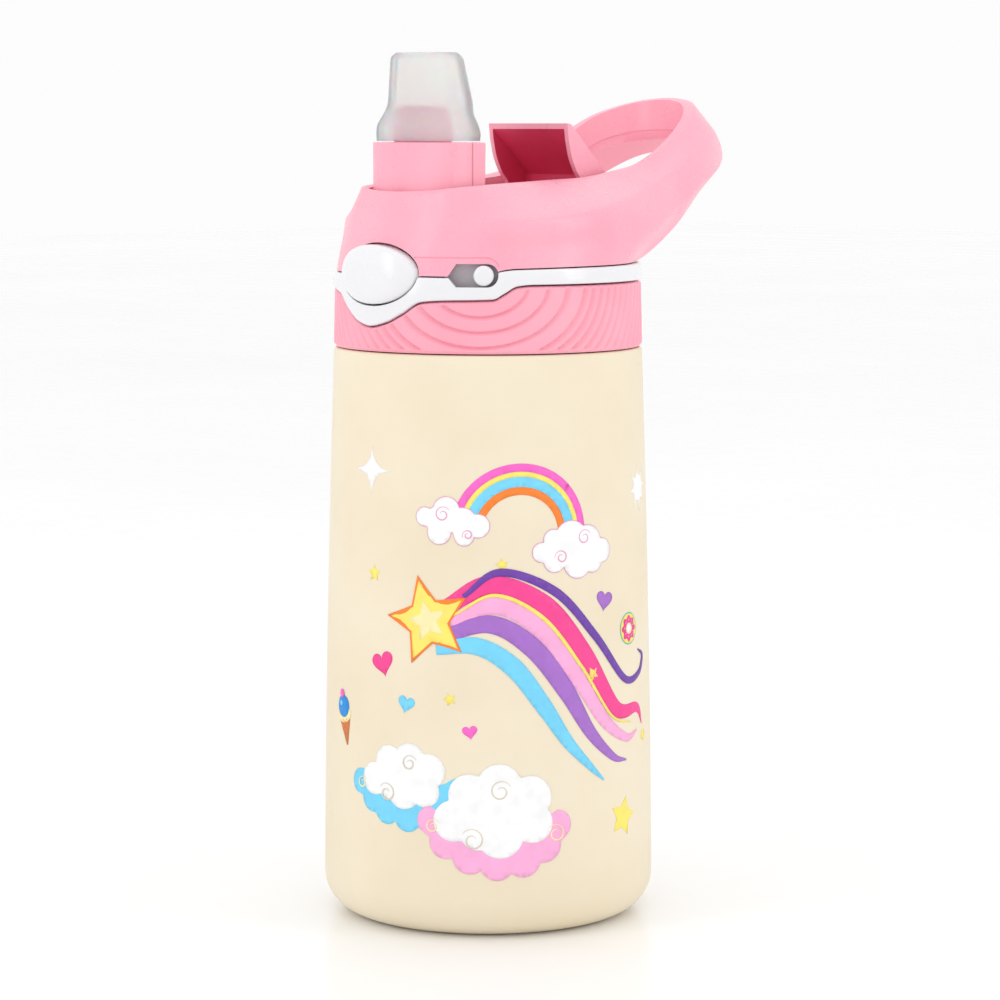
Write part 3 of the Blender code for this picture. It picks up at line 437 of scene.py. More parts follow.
def grip_depth(az, z):
    """Depth of the moulded line nearest to a place on the collar."""
    arc = radians(wrap(az - GRIP_AZ)) * COLLAR_R
    far = ((arc / GRIP_STRETCH) ** 2 + (GRIP_Z - z) ** 2) ** 0.5
    if far < GRIP_FAR:
        off = (far - GRIP_FIRST) / GRIP_STEP
        off = (off - round(max(off, 0))) * GRIP_STEP
    else:
        off = (far - GRIP_FAR) / GRIP_FAR_STEP
        off = (off - round(off)) * GRIP_FAR_STEP
    side = GRIP_WIDTH * (2.4 if off > 0 else 0.7)
    return GRIP_DEPTH * float(np.exp(-(off / side) ** 2))


def collar_section(az):
    top = band_low(az) - FIT
    points = [(COLLAR_IN, collar_low), (collar_low_r - 0.5 * MM, collar_low)]
    for t in np.linspace(0, 1, 64):
        z = collar_low + 0.25 * MM + (top - 0.4 * MM - collar_low) * t
        edge = min(t, 1 - t) * (top - collar_low)
        fade = min(1.0, edge / (0.9 * MM))
        round_off = 0.45 * MM * max(0.0, 1 - edge / (0.45 * MM)) ** 2
        r = collar_low_r + (collar_top_r - collar_low_r) * t
        points.append((r - round_off - fade * grip_depth(az, z), z))
    rebate_r = COLLAR_R - TRIM_WALL - FIT
    points += [(rebate_r, top), (rebate_r, REBATE_Z), (COLLAR_IN, REBATE_Z)]
    return [polar(r, az, z) for r, z in points]


COLLAR_STEPS = 900
collar = skin("collar_grip", [collar_section(360 * k / COLLAR_STEPS) for k in range(COLLAR_STEPS)], sharp=60)


# ---- trim band
def trim_section(az):
    low, high = band_low(az), band_high(az)
    inner_r = COLLAR_R - TRIM_WALL
    crown = COLLAR_R + 0.2 * MM
    bead = 0.55 * MM
    points = [(inner_r, low)]
    for a in np.linspace(-pi / 2, 0, 7):
        points.append((crown - 0.15 * MM - bead + bead * cos(a), low + bead + bead * sin(a)))
    points.append((crown, (low + high) / 2))
    for a in np.linspace(0, pi / 2, 7):
        points.append((crown - 0.4 * MM - bead + bead * cos(a), high - bead + bead * sin(a)))
    points.append((inner_r, high))
    return [polar(r, az, z) for r, z in points]


trim = skin("trim_band", [trim_section(k) for k in np.linspace(-180, 180, 480, endpoint=False)], sharp=60)

# ---- housing with the loop handle
SPAN = 12


def row(points):
    return mirrored(spline(points, SPAN)) * MM


foot = mirrored(spline(FOOT, SPAN)) * MM
for p in foot:
    p[2] = band_high(degrees(atan2(p[0], -p[1]))) + FIT + max(p[2], 0)
belly, ridge, crest = row(BELLY), row(RIDGE), row(CREST)
channel = row(CHANNEL_EDGE)
lift = [p[1] for p in spline(list(enumerate(CHANNEL_FOOT)), SPAN)]
edge_z = SHELF_Z + mirrored(np.array([(0.0, max(h, 0.0)) for h in lift]))[:, 1] * MM
edge_top = np.column_stack([channel, crest[:, 2] - 0.7 * MM])
edge_low = np.column_stack([channel, edge_z])
inward = crest.copy()
inward[:, :2] = crest[:, :2] - channel
inward[:, 2] = 0
inward /= np.linalg.norm(inward, axis=1)[:, None]

loops = [foot]
levels = [foot, belly, ridge, crest]
TIGHT = 0.5  # how closely the skin follows its levels between them
for k in range(3):
    before = levels[k - 1] if k else 2 * foot - belly
    after = levels[k + 2] if k < 2 else 2 * crest - ridge
    a, b = levels[k], levels[k + 1]
    for t in np.linspace(0, 1, 9)[1:] if k < 2 else np.linspace(0, 0.94, 9)[1:]:
        loops.append(a + (b - a) * t + TIGHT * ((b - before) / 2 - (b - a)) * t * (1 - t) ** 2
                     - TIGHT * ((after - a) / 2 - (b - a)) * (1 - t) * t ** 2)
for t in (0.25, 0.5, 0.75, 1.0):
    bulge = np.array((0, 0, 0.35 * MM * sin(pi * t)))
    loops.append(loops[24] * (1 - t) + edge_top * t + bulge * (1 - t))
ledge = edge_low + np.array((0, 0, 2.2 * MM))
loops += [edge_top - np.array((0, 0, 0.6 * MM)), ledge + np.array((0, 0, 0.25 * MM)),
          ledge + inward * 0.35 * MM, edge_low + inward * 0.35 * MM + np.array((0, 0, 0.3 * MM)),
          edge_low + inward * 0.7 * MM]
housing = skin("housing_shell", [[tuple(p) for p in loop] for loop in loops], sharp=55)

shelf_plan = [polar(LID_R - 0.2 * MM, az, 0)[:2] for az in np.linspace(137, 223, 60)]
bridge = block("bridge", (-BRIDGE_X, BRIDGE_Y, SHELF_Z + 0.5 * MM),
               (BRIDGE_X, BRIDGE_Y + BRIDGE_T, BRIDGE_TOP))
combine(housing, "UNION", slab("shelf", shelf_plan, SHELF_Z, SHELF_Z + SHELF_T), bridge, sharp=50)


def oval(scale, offset, grow=0.0, count=96):
    """A ring of the button's outline on the lid's round wall, offset proud of it."""
    ring = []
    for k in range(count):
        t = 2 * pi * k / count
        x = scale * (BUTTON_A + grow) * cos(t)
        z = BUTTON_Z + scale * (BUTTON_B + grow) * sin(t)
        ring.append((x, -((COLLAR_R ** 2 - x * x) ** 0.5) - offset, z))
    return ring


def button_room(grow, depth):
    return skin("room", [oval(1.0, offset, grow) for offset in (-depth, 9 * MM)], closed=False)


room = BUTTON_IN + BUTTON_TRAVEL + 0.6 * MM
for thing in (collar, trim, housing):
    combine(thing, "DIFFERENCE", button_room(BUTTON_GAP, room), sharp=55)

slot_mid = (SLOT_FROM + SLOT_TO) / 2


def wall_slab(name, outline, near, far):
    """An outline of (degrees, z) points at the slot, pushed straight outwards between two distances."""
    out = np.array(polar(1.0, slot_mid, 0.0))
    side = np.array(polar(1.0, slot_mid + 90, 0.0))
    rings = [[tuple(out * depth + side * COLLAR_R * sin(radians(az - slot_mid)) + np.array((0, 0, z)))
              for az, z in outline] for depth in (near, far)]
    return skin(name, rings, closed=False)


tip_az = SLOT_FROM + 3.2
slot = [(SLOT_FROM, LOCK_Z - 0.3 * MM), (tip_az, LOCK_Z - SLOT_H)]
for a in np.linspace(-pi / 2, pi / 2, 15):
    slot.append((SLOT_TO - 4.1 + 4.1 * cos(a), LOCK_Z + SLOT_H * sin(a)))
slot.append((tip_az, LOCK_Z + SLOT_H))
for thing in (trim, housing):
    combine(thing, "DIFFERENCE", wall_slab("slot", slot, LOCK_FLOOR - 0.2 * MM, 40 * MM), sharp=50)
track_room = [(SLOT_FROM - 2.2, LOCK_Z - 3.6 * MM), (SLOT_TO + 2.2, LOCK_Z - 3.6 * MM),
              (SLOT_TO + 2.2, LOCK_Z + 3.6 * MM), (SLOT_FROM - 2.2, LOCK_Z + 3.6 * MM)]
latch_way = block("latch_way", (-3.3 * MM, -COLLAR_R + BUTTON_IN, 148.7 * MM),
                  (3.3 * MM, -CHANNEL_FRONT + 6 * MM, 151.1 * MM))
combine(housing, "DIFFERENCE", wall_slab("track_room", track_room, LOCK_FLOOR - 2.3 * MM, LOCK_FLOOR + FIT),
        latch_way, sharp=50)


def groove_on(thing, path, radius):
    """Cuts a fine round groove into a skin along (degrees, z) points."""
    tree = BVHTree.FromObject(thing, bpy.context.evaluated_depsgraph_get())
    places = []
    for az, z in path:
        out = Vector(polar(1.0, az, 0.0))
        hit = tree.ray_cast(out * 60 * MM + Vector((0, 0, z)), -out, 35 * MM)[0]
        if hit is not None:
            places.append((hit, out))
    rings = []
    for k, (hit, out) in enumerate(places):
        ahead = (places[min(k + 1, len(places) - 1)][0] - places[max(k - 1, 0)][0]).normalized()
        across = ahead.cross(out).normalized()
        lift = across.cross(ahead)
        rings.append([tuple(hit + across * radius * cos(t) + lift * radius * sin(t))
                      for t in np.linspace(0, 2 * pi, 8, endpoint=False)])
    combine(thing, "DIFFERENCE", skin("groove", rings, closed=False), sharp=50, crossing=True)


seam = [(az, 149.3 * MM) for az in np.linspace(18.5, 46, 21)]
seam += [(46 + 5.2 * sin(a), (147.2 + 2.1 * cos(a)) * MM) for a in np.linspace(0.25, 1.45, 7)]
groove_on(housing, seam, 0.16 * MM)
bevel(housing, 0.22 * MM, 2, 50)
bevel(trim, 0.18 * MM, 2, 50)
dress(collar, collar_pink, "lid", "lid_collar")
dress(trim, white, "lid", "trim_ring")
dress(housing, pink, "lid", "lid_housing")

# ---- button and lock slider
dome = [(0.3, -BUTTON_IN), (0.97, -BUTTON_IN), (1.0, -BUTTON_IN + 0.3 * MM), (1.0, 0.0)]
for a in np.linspace(0.05, pi / 2 - 0.06, 18):
    dome.append((cos(a) ** 0.62, BUTTON_PROUD * sin(a)))
button = skin("button_cap", [oval(scale, offset) for scale, offset in dome], closed=False, sharp=60)
dress(button, white, "button", "release_button")

lock_in, lock_out = LOCK_FLOOR + FIT, COLLAR_R + 0.5 * MM
out = np.array(polar(1.0, LOCK_AZ, 0.0))
side = np.array(polar(1.0, LOCK_AZ + 90, 0.0))
lock_rings = []
lock_profile = [(0.4 * LOCK_R, lock_in), (0.95 * LOCK_R, lock_in), (LOCK_R, lock_in + 0.2 * MM),
                (LOCK_R, lock_out - 1.1 * MM)]
lock_profile += [(LOCK_R - 1.0 * MM + 1.0 * MM * cos(a), lock_out - 1.1 * MM + 1.0 * MM * sin(a))
                 for a in np.linspace(0.2, pi / 2, 8)]
lock_profile.append((0.3 * LOCK_R, lock_out))
for r, depth in lock_profile:
    lock_rings.append([tuple(out * depth + side * r * cos(t) + np.array((0, 0, LOCK_Z + r * sin(t))))
                       for t in np.linspace(0, 2 * pi, 64, endpoint=False)])
dress(skin("lock_knob", lock_rings, closed=False, sharp=60), white, "lock", "lock_slider")

# ---- spout
back_y = SPOUT_Y + SPOUT_BACK
CORNER, CORNER_W = 0.7 * MM, 1.6 * MM


def spout_slice(x):
    """The spout's side outline at x, its front curved with the lid."""
    corner = max(0.0, (abs(x) - (SPOUT_X - CORNER_W)) / CORNER_W)
    reach = (SPOUT_FRONT ** 2 - x * x) ** 0.5 + SPOUT_Y - CORNER * corner ** 2
    barrel_r = min(SPOUT_R, reach)
    ring = [(-reach, SPOUT_TOP - SPOUT_Z), (-reach, 0.5 * MM)]
    ring += [(-barrel_r * cos(a), -barrel_r * sin(a)) for a in np.linspace(0, pi / 2, 17)]
    ring += [(SPOUT_R * sin(a), -barrel_r * cos(a)) for a in np.linspace(0, pi / 2, 17)[1:]]
    ring += [(SPOUT_BACK, 0.5 * MM), (SPOUT_BACK, SPOUT_TOP - SPOUT_Z)]
    return [(x, SPOUT_Y + y, SPOUT_Z + z) for y, z in ring]


stations = [*np.linspace(0, SPOUT_X - CORNER_W, 16), *np.linspace(SPOUT_X - CORNER_W, SPOUT_X, 6)[1:]]
stations = [-x for x in stations[:0:-1]] + stations
spout = skin("spout_shell", [spout_slice(x) for x in stations], closed=False)
slit_y, ledge_z = back_y - BACK_T, SPOUT_Z + 2.4 * MM
combine(spout, "DIFFERENCE", block("seat", (-20 * MM, slit_y - FIT, ledge_z), (20 * MM, 0, 180 * MM)))
CORE = [(8.4, 2.7, -1), (8.2, 2.7, 4.6), (7.8, 2.7, 6.2), (6.8, 2.6, 7.3), (4.4, 2.4, 8.0)]
core = [rounded(a * MM, b * MM, SPOUT_Y, SPOUT_TOP + h * MM) for a, b, h in CORE]
combine(spout, "UNION", skin("core", core, closed=False))
combine(spout, "DIFFERENCE", rod("waterway", 2.08 * MM, (0, SPOUT_Y, 140 * MM), (0, SPOUT_Y, 190 * MM)))
for hand in (1, -1):
    combine(spout, "DIFFERENCE", rod("pin_hole", 1.8 * MM, (hand * 10.5 * MM, SPOUT_Y, SPOUT_Z),
                                     (hand * 20 * MM, SPOUT_Y, SPOUT_Z)))
bevel(spout, 0.3 * MM, 3, 40)
dress(spout, pink, "spout", "spout_body")
back_line = [(slit_y, ledge_z + FIT), (back_y - 0.2 * MM, ledge_z + FIT), (back_y, SPOUT_TOP),
             (slit_y, SPOUT_TOP)]
back = slab("spout_rear_cover", back_line, -SPOUT_X, SPOUT_X, axis="X")
bevel(back, 0.4 * MM, 3, 40)
dress(back, pink, "spout", "spout_back")

smooth_mouth = spline(MOUTH, 6, mirror=False)
MOUTH_WALL = 1.6
LIP = [(6.9, 3.9, -18.5, 19.6), (6.3, 3.4, -18.5, 19.45), (6.1, 3.2, -18.5, 19.0)]


def mouth_ring(a, b, y, h):
    return rounded(a * MM, b * MM, y * MM, SPOUT_TOP + h * MM)


outside = [mouth_ring(a, b, y, h) for a, b, y, h in smooth_mouth]
inside = [mouth_ring(a - MOUTH_WALL, b - MOUTH_WALL, y, h) for a, b, y, h in smooth_mouth[:-7]]
lip = [mouth_ring(*sizes) for sizes in LIP]
mouth = skin("mouthpiece_skin", outside + lip + inside[::-1], sharp=70)
dress(mouth, frosted.material, "spout", "mouthpiece")

# ---- shield
shield_back = [(12.2, 178.2), (13.4, 178.0), (24.3, 167.2), (24.6, 165.0), (23.6, 158.0)]
shield_mouth = spline([(18.2, 156.4), (17.7, 161.0), (17.2, 164.8), (15.4, 167.0), (13.6, 170.6),
                       (12.6, 174.6)], 5, mirror=False)
barrel = [(SHIELD_Y / MM + SHIELD_BARREL / MM * cos(a), SHIELD_Z / MM + SHIELD_BARREL / MM * sin(a))
          for a in np.linspace(0.35, -pi - 0.35, 33)]
outline = [(y * MM, z * MM) for y, z in [*shield_back, *barrel, *shield_mouth]]
shield = slab("shield_scoop", outline, -SHIELD_X, SHIELD_X, axis="X")
hollow = [(8.0, 181.0), (12.9, 176.4), (22.9, 166.6), (23.0, 164.6), (22.0, 158.6), (19.6, 157.0),
          (17.9, 155.6), (8.0, 155.0)]
combine(shield, "DIFFERENCE", slab("hollow", [(y * MM, z * MM) for y, z in hollow], -SHIELD_X + SHIELD_WALL,
                                   SHIELD_X - SHIELD_WALL, axis="X"))
combine(shield, "DIFFERENCE", rod("spring_room", 4.8 * MM, (-3.4 * MM, SHIELD_Y, SHIELD_Z),
                                  (3.4 * MM, SHIELD_Y, SHIELD_Z)))
for hand in (1, -1):
    combine(shield, "DIFFERENCE", rod("pin_hole", 1.5 * MM, (hand * 10.5 * MM, SHIELD_Y, SHIELD_Z),
                                      (hand * 20 * MM, SHIELD_Y, SHIELD_Z)))
bevel(shield, 0.3 * MM, 3, 40)
dress(shield, pink, "shield", "spout_shield")
# The scoop's inner faces above its floor take the deeper pink as painted shade.
shield.data.materials.append(shield_painted_shade_pink)
inner_x = SHIELD_X - SHIELD_WALL + 0.05 * MM
for face in shield.data.polygons:
    centre = face.center
    inner_wall = max(abs(shield.data.vertices[v].co.x) for v in face.vertices) < inner_x
    faces_in = face.normal.y < 0.3 if abs(face.normal.x) < 0.5 else centre.x * face.normal.x < 0
    if inner_wall and faces_in and centre.z > 155.5 * MM:
        face.material_index = 1


# ---- print on the body
LAYER = 0.035 * MM
MESH_STEP = 1.4  # mm between the points inside a patch


def print_patch(name, outline, ink_name, az0, z0, layer=1, spin=0.0):
    """A thin patch of ink whose (u, v) outline, in mm, is wrapped round the body at a place."""
    turn = radians(spin)
    flat = [(u * cos(turn) - v * sin(turn), u * sin(turn) + v * cos(turn)) for u, v in outline]
    low, high = np.min(flat, axis=0), np.max(flat, axis=0)
    inner = [(u, v) for u in np.arange(low[0] + MESH_STEP / 2, high[0], MESH_STEP)
             for v in np.arange(low[1] + MESH_STEP / 2, high[1], MESH_STEP)]
    count = len(flat)
    edges = [(i, (i + 1) % count) for i in range(count)]
    points = [Vector(p) for p in [*flat, *inner]]
    verts, _, faces, *_ = delaunay_2d_cdt(points, edges, [list(range(count))], 1, 1e-5)
    work = bmesh.new()
    made = []
    for v in verts:
        z = z0 * MM + v.y * MM
        r = body_radius(z) - INSET + LAYER * layer
        made.append(work.verts.new(polar(r, az0 + degrees(v.x * MM / body_radius(z)), z)))
    for face in faces:
        work.faces.new([made[i] for i in face])
    loose = [v for v in work.verts if not v.link_faces]
    bmesh.ops.delete(work, geom=loose, context="VERTS")
    bmesh.ops.recalc_face_normals(work, faces=work.faces)
    some = next(iter(work.faces))
    if some.normal.dot(Vector((some.calc_center_median().x, some.calc_center_median().y, 0))) < 0:
        bmesh.ops.reverse_faces(work, faces=work.faces)
    mesh = bpy.data.meshes.new(name)
    work.to_mesh(mesh)
    work.free()
    thing = add(name, mesh, 80)
    thick = thing.modifiers.new("ink", "SOLIDIFY")
    thick.thickness = LAYER * 0.8
    thick.offset = 0.0
    return dress(thing, inks[ink_name], "bottle")


def arc_points(cx, cy, r, a0, a1, count, squash=1.0):
    return [(cx + r * cos(a), cy + squash * r * sin(a)) for a in np.linspace(a0, a1, count)]


def disc(r, count):
    return arc_points(0, 0, r, 0, 2 * pi, count)[:-1]


def cloud(puffs, count=150):
    """The outer edge of a heap of round puffs (x, y, r), seen from their middle."""
    mx, my = np.mean([p[0] for p in puffs]), np.mean([p[1] for p in puffs])
    edge = []
    for k in range(count):
        a = 2 * pi * k / count
        far = 0.1
        for x, y, r in puffs:
            dx, dy = x - mx, y - my
            b = dx * cos(a) + dy * sin(a)
            root = b * b - dx * dx - dy * dy + r * r
            if root > 0:
                far = max(far, b + root ** 0.5)
        edge.append((mx + far * cos(a), my + far * sin(a)))
    return edge


def grown(puffs, by):
    return [(x, y, r + by) for x, y, r in puffs]


def star(points, outer, inner, start=pi / 2):
    return [((outer if k % 2 == 0 else inner) * cos(start + pi * k / points),
             (outer if k % 2 == 0 else inner) * sin(start + pi * k / points)) for k in range(2 * points)]


def ribbon(path, widths, count=14):
    """A flat band along a path; its width runs through the given values."""
    line = spline(path, count, mirror=False)
    wide = np.interp(np.linspace(0, 1, len(line)), np.linspace(0, 1, len(widths)), widths)
    ahead = np.gradient(line, axis=0)
    ahead /= np.linalg.norm(ahead, axis=1)[:, None]
    side = np.column_stack([-ahead[:, 1], ahead[:, 0]])
    left = line + side * wide[:, None] / 2
    right = line - side * wide[:, None] / 2
    return [tuple(p) for p in left] + [tuple(p) for p in right[::-1]]


def curl(cx, cy, r, turns=1.35, width=0.28, start=0.0, way=1):
    """The little spiral drawn on a cloud."""
    path = [(cx + r * (1 - 0.72 * t) * cos(start + way * 2 * pi * turns * t),
             cy + r * (1 - 0.72 * t) * sin(start + way * 2 * pi * turns * t)) for t in np.linspace(0, 1, 26)]
    return ribbon(path, [0.08, width, width, 0.08], count=2)


def heart(size):
    shape = []
    for t in np.linspace(0, 2 * pi, 48, endpoint=False):
        shape.append((size * 16 * sin(t) ** 3 / 16,
                      size * (13 * cos(t) - 5 * cos(2 * t) - 2 * cos(3 * t) - cos(4 * t)) / 16))
    return shape


def sparkle(points, tall, wide, waist):
    """A star with hollow sides and long thin points."""
    shape = []
    for k in range(points):
        a0, a1 = 2 * pi * k / points + pi / 2, 2 * pi * (k + 1) / points + pi / 2
        middle = waist * cos((a0 + a1) / 2), waist * sin((a0 + a1) / 2)
        for t in np.linspace(0, 1, 9, endpoint=False):
            x = (1 - t) ** 2 * cos(a0) + 2 * t * (1 - t) * middle[0] + t * t * cos(a1)
            y = (1 - t) ** 2 * sin(a0) + 2 * t * (1 - t) * middle[1] + t * t * sin(a1)
            shape.append((wide * x, tall * y))
    return shape


# Rainbow between two clouds.
RAINBOW_AZ, RAINBOW_Z = 58.6, 89.6
bands = [("rose", 15.4, 13.6), ("lemon", 13.62, 12.5), ("sky", 12.52, 10.3), ("orange", 10.32, 8.6)]
for k, (ink_name, far, near) in enumerate(bands):
    outline = arc_points(0, 0, far, 0.0, radians(162), 44) + arc_points(0, 0, near, radians(162), 0.0, 44)
    print_patch(f"rainbow_{ink_name}", outline, ink_name, RAINBOW_AZ, RAINBOW_Z, 1 + 0.1 * k)
left_puffs = [(-6.3, 1.4, 2.0), (-2.6, 0.6, 3.4), (-1.4, 2.9, 2.9), (2.2, 0.4, 3.1), (5.6, -0.4, 2.5),
              (2.6, -2.6, 2.1), (-3.0, -1.9, 2.6)]
right_puffs = [(-8.0, -0.4, 2.1), (-5.2, 2.2, 2.3), (-0.8, 2.0, 4.2), (3.4, 1.2, 3.8), (7.6, -0.8, 2.6),
               (-5.0, -2.2, 2.6), (0.8, -2.8, 3.6), (4.8, -2.6, 2.8)]
for name, puffs, az, z, curls in (
        ("left", left_puffs, 34.7, 91.9, [(-2.2, 2.0, 1.8, 0.6, 1), (3.4, -2.4, 1.2, 3.6, -1)]),
        ("right", right_puffs, 78.8, 85.9, [(2.6, 2.4, 1.8, 0.4, 1), (-3.4, -1.6, 1.6, 3.2, -1)])):
    print_patch(f"cloud_{name}_edge", cloud(grown(puffs, 0.16)), "line", az, z, 2)
    print_patch(f"cloud_{name}", cloud(puffs), "white", az, z, 3)
    for k, (x, y, r, start, way) in enumerate(curls):
        print_patch(f"cloud_{name}_curl_{k}", curl(x, y, r, start=start, way=way), "line", az, z, 4)

# Two white clouds on coloured ones near the foot.
low_blue = [(-11.5, 2.4, 3.0), (-7.6, -0.6, 3.4), (-3.6, -2.8, 3.4), (1.8, -4.0, 3.4), (6.6, -3.2, 3.6),
            (10.6, -0.4, 3.4), (12.8, 2.4, 2.8), (0.0, 1.0, 5.0)]
low_white = [(-7.6, -0.8, 3.6), (-3.4, 3.2, 3.8), (1.8, 4.0, 3.9), (6.4, 2.0, 3.9), (5.6, -2.6, 3.4),
             (0.4, -2.6, 4.2), (-3.4, -1.6, 3.4)]
low_pink = [(-14.0, 4.0, 3.2), (-10.6, -0.6, 3.7), (-5.2, -3.6, 3.9), (0.8, -5.0, 3.9), (6.6, -4.4, 3.9),
            (11.4, -1.4, 3.9), (14.4, 2.8, 3.4), (0.0, 1.0, 7.0)]
low_front = [(-9.4, -1.6, 4.6), (-6.0, 4.2, 4.6), (0.6, 6.0, 5.0), (7.4, 3.4, 4.9), (8.2, -2.2, 4.4),
             (0.8, -4.6, 5.2), (-4.0, -3.8, 4.2)]
for name, puffs, ink_name, az, z, layer in (
        ("low_blue", low_blue, "sky", 16.0, 31.0, 1), ("low_white", low_white, "white", 16.6, 35.4, 2),
        ("low_pink", low_pink, "blush", 49.0, 22.6, 3), ("low_front", low_front, "white", 50.0, 28.4, 4)):
    print_patch(name, cloud(puffs), ink_name, az, z, layer)
low_curls = [(19.4, 38.9, 1.9, 0.4, 1, "swirl"), (10.4, 31.8, 2.3, 2.6, -1, "swirl"),
             (51.4, 33.4, 2.5, 0.4, 1, "swirl"), (42.0, 22.6, 2.7, 2.6, -1, "swirl"),
             (-1.0, 33.2, 1.5, 0.5, 1, "cream"), (28.2, 25.4, 1.7, 0.5, 1, "cream"),
             (70.6, 23.6, 2.2, 2.6, -1, "cream")]
for k, (az, z, r, start, way, ink_name) in enumerate(low_curls):
    print_patch(f"low_curl_{k}", curl(0, 0, r, start=start, way=way, width=0.34), ink_name, az, z, 5)

# Centre motif of this bottle's own: a shooting star that trails a bundle of ribbons.
STAR_AZ, STAR_Z = 26.0, 70.5
trail = [
    ("magenta", [(4, 3), (14, 8), (26, 3), (36, -8), (46, -21), (55, -22), (58, -26)],
     [3.5, 4.6, 5.2, 4.6, 3.6, 2.2, 0.4]),
    ("blush", [(5, 0), (15, 3.8), (25, -1.2), (34, -12), (42, -23), (50, -28), (55, -27)],
     [3.0, 4.2, 4.6, 4.4, 3.2, 2.0, 0.4]),
    ("violet", [(4, -3), (14, -0.4), (23, -5.4), (31, -15), (38, -25.4), (45, -31.6), (50, -33)],
     [2.8, 4.0, 4.4, 4.2, 3.0, 1.8, 0.4]),
    ("sky", [(2, -6), (11, -5.2), (19, -9.8), (26, -18.6), (32, -27), (38, -33), (42, -36.4)],
     [2.6, 3.8, 4.2, 3.8, 2.8, 1.6, 0.4]),
    ("plum", [(8, 5.6), (16, 10.9), (28.4, 6.4), (39, -4.0), (49, -14.6), (56, -14.4), (58.4, -10.8),
              (55.6, -9)],
     [1.0, 1.7, 2.0, 1.9, 1.7, 1.4, 1.1, 0.3]),
]
for k, (ink_name, path, widths) in enumerate(trail):
    print_patch(f"trail_{ink_name}", ribbon(path, widths), ink_name, STAR_AZ, STAR_Z, 1 + 0.5 * k)
print_patch("trail_lemon", ribbon([(6, 1.6), (15, 5.9), (25.6, 0.8), (35, -10.2), (44.2, -22.2), (52, -24.8)],
                                  [0.5, 0.8, 0.9, 0.8, 0.6, 0.2]), "lemon", STAR_AZ, STAR_Z, 4)
print_patch("big_star_edge", star(5, 10.2, 5.0), "orange", STAR_AZ, STAR_Z, 4.6, spin=14)
print_patch("big_star", star(5, 9.0, 4.5), "lemon", STAR_AZ, STAR_Z, 5.4, spin=14)
print_patch("big_star_shine", star(5, 4.6, 2.2), "cream", STAR_AZ, STAR_Z, 6.2, spin=14)
hearts = [(3.0, "magenta", 8.0, 60.5, 16), (2.1, "sky", 18.0, 52.0, -12), (2.5, "violet", 92.0, 74.0, -10),
          (1.7, "rose", 41.0, 46.5, 8)]
for k, (size, ink_name, az, z, spin) in enumerate(hearts):
    print_patch(f"heart_{k}", heart(size), ink_name, az, z, 1, spin=spin)
small_stars = [(3.5, 80.0, 1.9), (52.0, 83.0, 1.5), (34.0, 53.5, 1.5), (86.0, 58.0, 1.7)]
for k, (az, z, size) in enumerate(small_stars):
    print_patch(f"small_star_{k}", star(5, size, size * 0.5), "lemon", az, z, 1, spin=10 * k)

# Small things round the sides.
print_patch("sparkle_front", sparkle(4, 5.3, 5.9, 0.06), "white", 1.4, 102.7)
print_patch("sparkle_side", sparkle(8, 5.4, 5.4, 0.12), "white", 116.5, 97.5, spin=8)
print_patch("dot_side", disc(1.2, 25), "lemon", 117.0, 41.7)
print_patch("star_side", star(5, 4.6, 2.5), "lemon", 101.0, 24.9, spin=-14)
DONUT_AZ, DONUT_Z = 106.0, 66.7
icing = [((2.7 + 0.32 * cos(8 * a)) * cos(a), (2.7 + 0.32 * cos(8 * a)) * sin(a))
         for a in np.linspace(0, 2 * pi, 96)[:-1]]
for k, (name, shape, ink_name) in enumerate((
        ("ring", disc(3.6, 49), "teal"), ("cake", disc(3.35, 49), "lemon"), ("icing", icing, "magenta"),
        ("hole_edge", disc(1.25, 33), "cream"), ("hole", disc(0.95, 33), "white"))):
    print_patch(f"donut_{name}", shape, ink_name, DONUT_AZ, DONUT_Z, 1 + 0.7 * k)
for k, a in enumerate(np.linspace(0.3, 2 * pi + 0.3, 9, endpoint=False)):
    x, y = 1.9 * cos(a), 1.9 * sin(a)
    sprinkle = ribbon([(x - 0.2, y), (x + 0.2, y + 0.2)], [0.2, 0.2], 2)
    print_patch(f"sprinkle_{k}", sprinkle, "sky" if k % 2 else "lemon", DONUT_AZ, DONUT_Z, 5)
CONE_AZ, CONE_Z, CONE_SPIN = -12.8, 46.8, 13
cone_parts = [("waffle", [(-2.5, -0.2), (2.5, -0.2), (0.25, -6.3), (-0.25, -6.3)], "cone"),
              ("cream", arc_points(0, 0.5, 2.9, 0, 2 * pi, 41, 0.62)[:-1], "cream"),
              ("scoop", arc_points(0, 2.4, 2.5, 0, 2 * pi, 41)[:-1], "blue"),
              ("shine", arc_points(-0.9, 3.2, 0.6, 0, 2 * pi, 21)[:-1], "sky"),
              ("cherry", arc_points(0, 5.3, 0.95, 0, 2 * pi, 25)[:-1], "rose")]
for k, (name, shape, ink_name) in enumerate(cone_parts):
    print_patch(f"cone_{name}", shape, ink_name, CONE_AZ, CONE_Z, 1 + 0.8 * k, spin=CONE_SPIN)
waffle_lines = [((-1.9, -1.2), (0.9, -4.0)), ((-1.0, -0.4), (1.6, -2.8)), ((1.9, -1.2), (-0.9, -4.0)),
                ((1.0, -0.4), (-1.6, -2.8))]
for k, (a, b) in enumerate(waffle_lines):
    line = ribbon([a, b], [0.16, 0.16], 3)
    print_patch(f"cone_line_{k}", line, "orange", CONE_AZ, CONE_Z, 2.0, spin=CONE_SPIN)

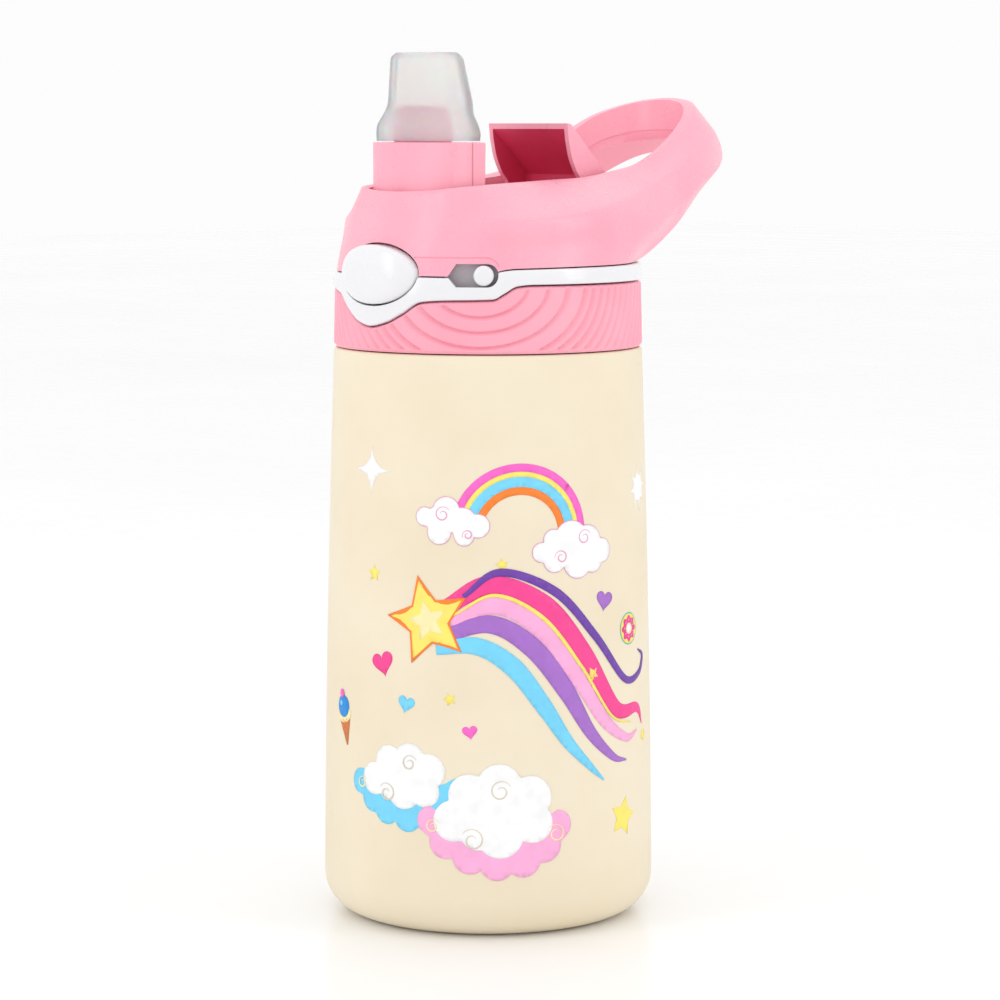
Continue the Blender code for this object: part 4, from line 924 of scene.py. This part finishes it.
# ---- CAD nodes that show as they are
INSIDE = [(steel, ["base_cap", "inner_flask", "spout_pin_right", "spout_pin_left", "shield_pin_right",
                   "shield_pin_left"]),
          (spring_wire, ["vacuum_getter", "button_spring", "spout_spring", "shield_spring"]),
          (rubber, ["neck_seal", "port_seal", "air_vent_valve"]),
          (white, ["lid_deck", "straw_socket", "button_latch"]),
          (pink, ["channel_tray"]), (grey, ["lock_track"]), (tube.material, ["straw"])]
for surface, names in INSIDE:
    for name in names:
        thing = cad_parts[name]
        thing.data.materials.clear()
        thing.data.materials.append(surface)

# ---- stage, light and camera
floor_look = Finish("floor_look")
floor_marks = floor_look.ramp(floor_look.noise(3.0), 0.0, 1.0)
floor_look.wire(floor_look.blend(floor_marks, (252, 252, 252), (249, 249, 250)), "Base Color")
floor_look.wire(floor_look.ramp(floor_look.noise(20.0), 0.2, 0.24), "Roughness")
bpy.ops.mesh.primitive_plane_add(size=8.0, location=(0, 0, 0))
floor = bpy.context.object
floor.name = "studio_floor"
floor.data.materials.append(floor_look.material)

world = bpy.data.worlds.new("studio")
bpy.context.scene.world = world
world.use_nodes = True
bpy.context.scene.view_settings.view_transform = "Standard"
world.node_tree.nodes["Background"].inputs["Color"].default_value = (1, 1, 1, 1)
world.node_tree.nodes["Background"].inputs["Strength"].default_value = 0.98

VIEW_AZ = 47.0
back_dir = Vector((sin(radians(VIEW_AZ)), -cos(radians(VIEW_AZ)), 0))
right_dir = Vector((cos(radians(VIEW_AZ)), sin(radians(VIEW_AZ)), 0))


def softbox(name, sideways, towards, height, size, power):
    """A large square light that looks at the bottle's middle."""
    lamp = bpy.data.lights.new(name, "AREA")
    lamp.shape = "RECTANGLE"
    lamp.size, lamp.size_y = size
    lamp.energy = power
    thing = bpy.data.objects.new(name, lamp)
    thing.location = right_dir * sideways + back_dir * towards + Vector((0, 0, height))
    aim = Vector((0, 0, 0.1)) - thing.location
    thing.rotation_euler = aim.to_track_quat("-Z", "Y").to_euler()
    bpy.context.scene.collection.objects.link(thing)


softbox("key_left", -0.75, 0.45, 0.5, (0.25, 0.9), 1.5)
softbox("key_right", 0.8, 0.35, 0.45, (0.25, 0.9), 1.3)
softbox("top", 0.0, -0.1, 1.1, (0.9, 0.9), 0.6)

LENS_PX, FRAME_PX, SENSOR = 3455.6, 1000.0, 36.0
camera = bpy.data.cameras.new("photo_view")
camera.sensor_width = SENSOR
camera.lens = LENS_PX / FRAME_PX * SENSOR
camera.clip_start = 0.01
eye = bpy.data.objects.new("photo_view", camera)
eye.location = back_dir * 0.7785 + Vector((0, 0, 0.178)) + right_dir * 0.0027
pitch = 0.10838
look = -back_dir * cos(pitch) + Vector((0, 0, -sin(pitch)))
eye.rotation_euler = look.to_track_quat("-Z", "Y").to_euler()
bpy.context.scene.collection.objects.link(eye)
bpy.context.scene.camera = eye
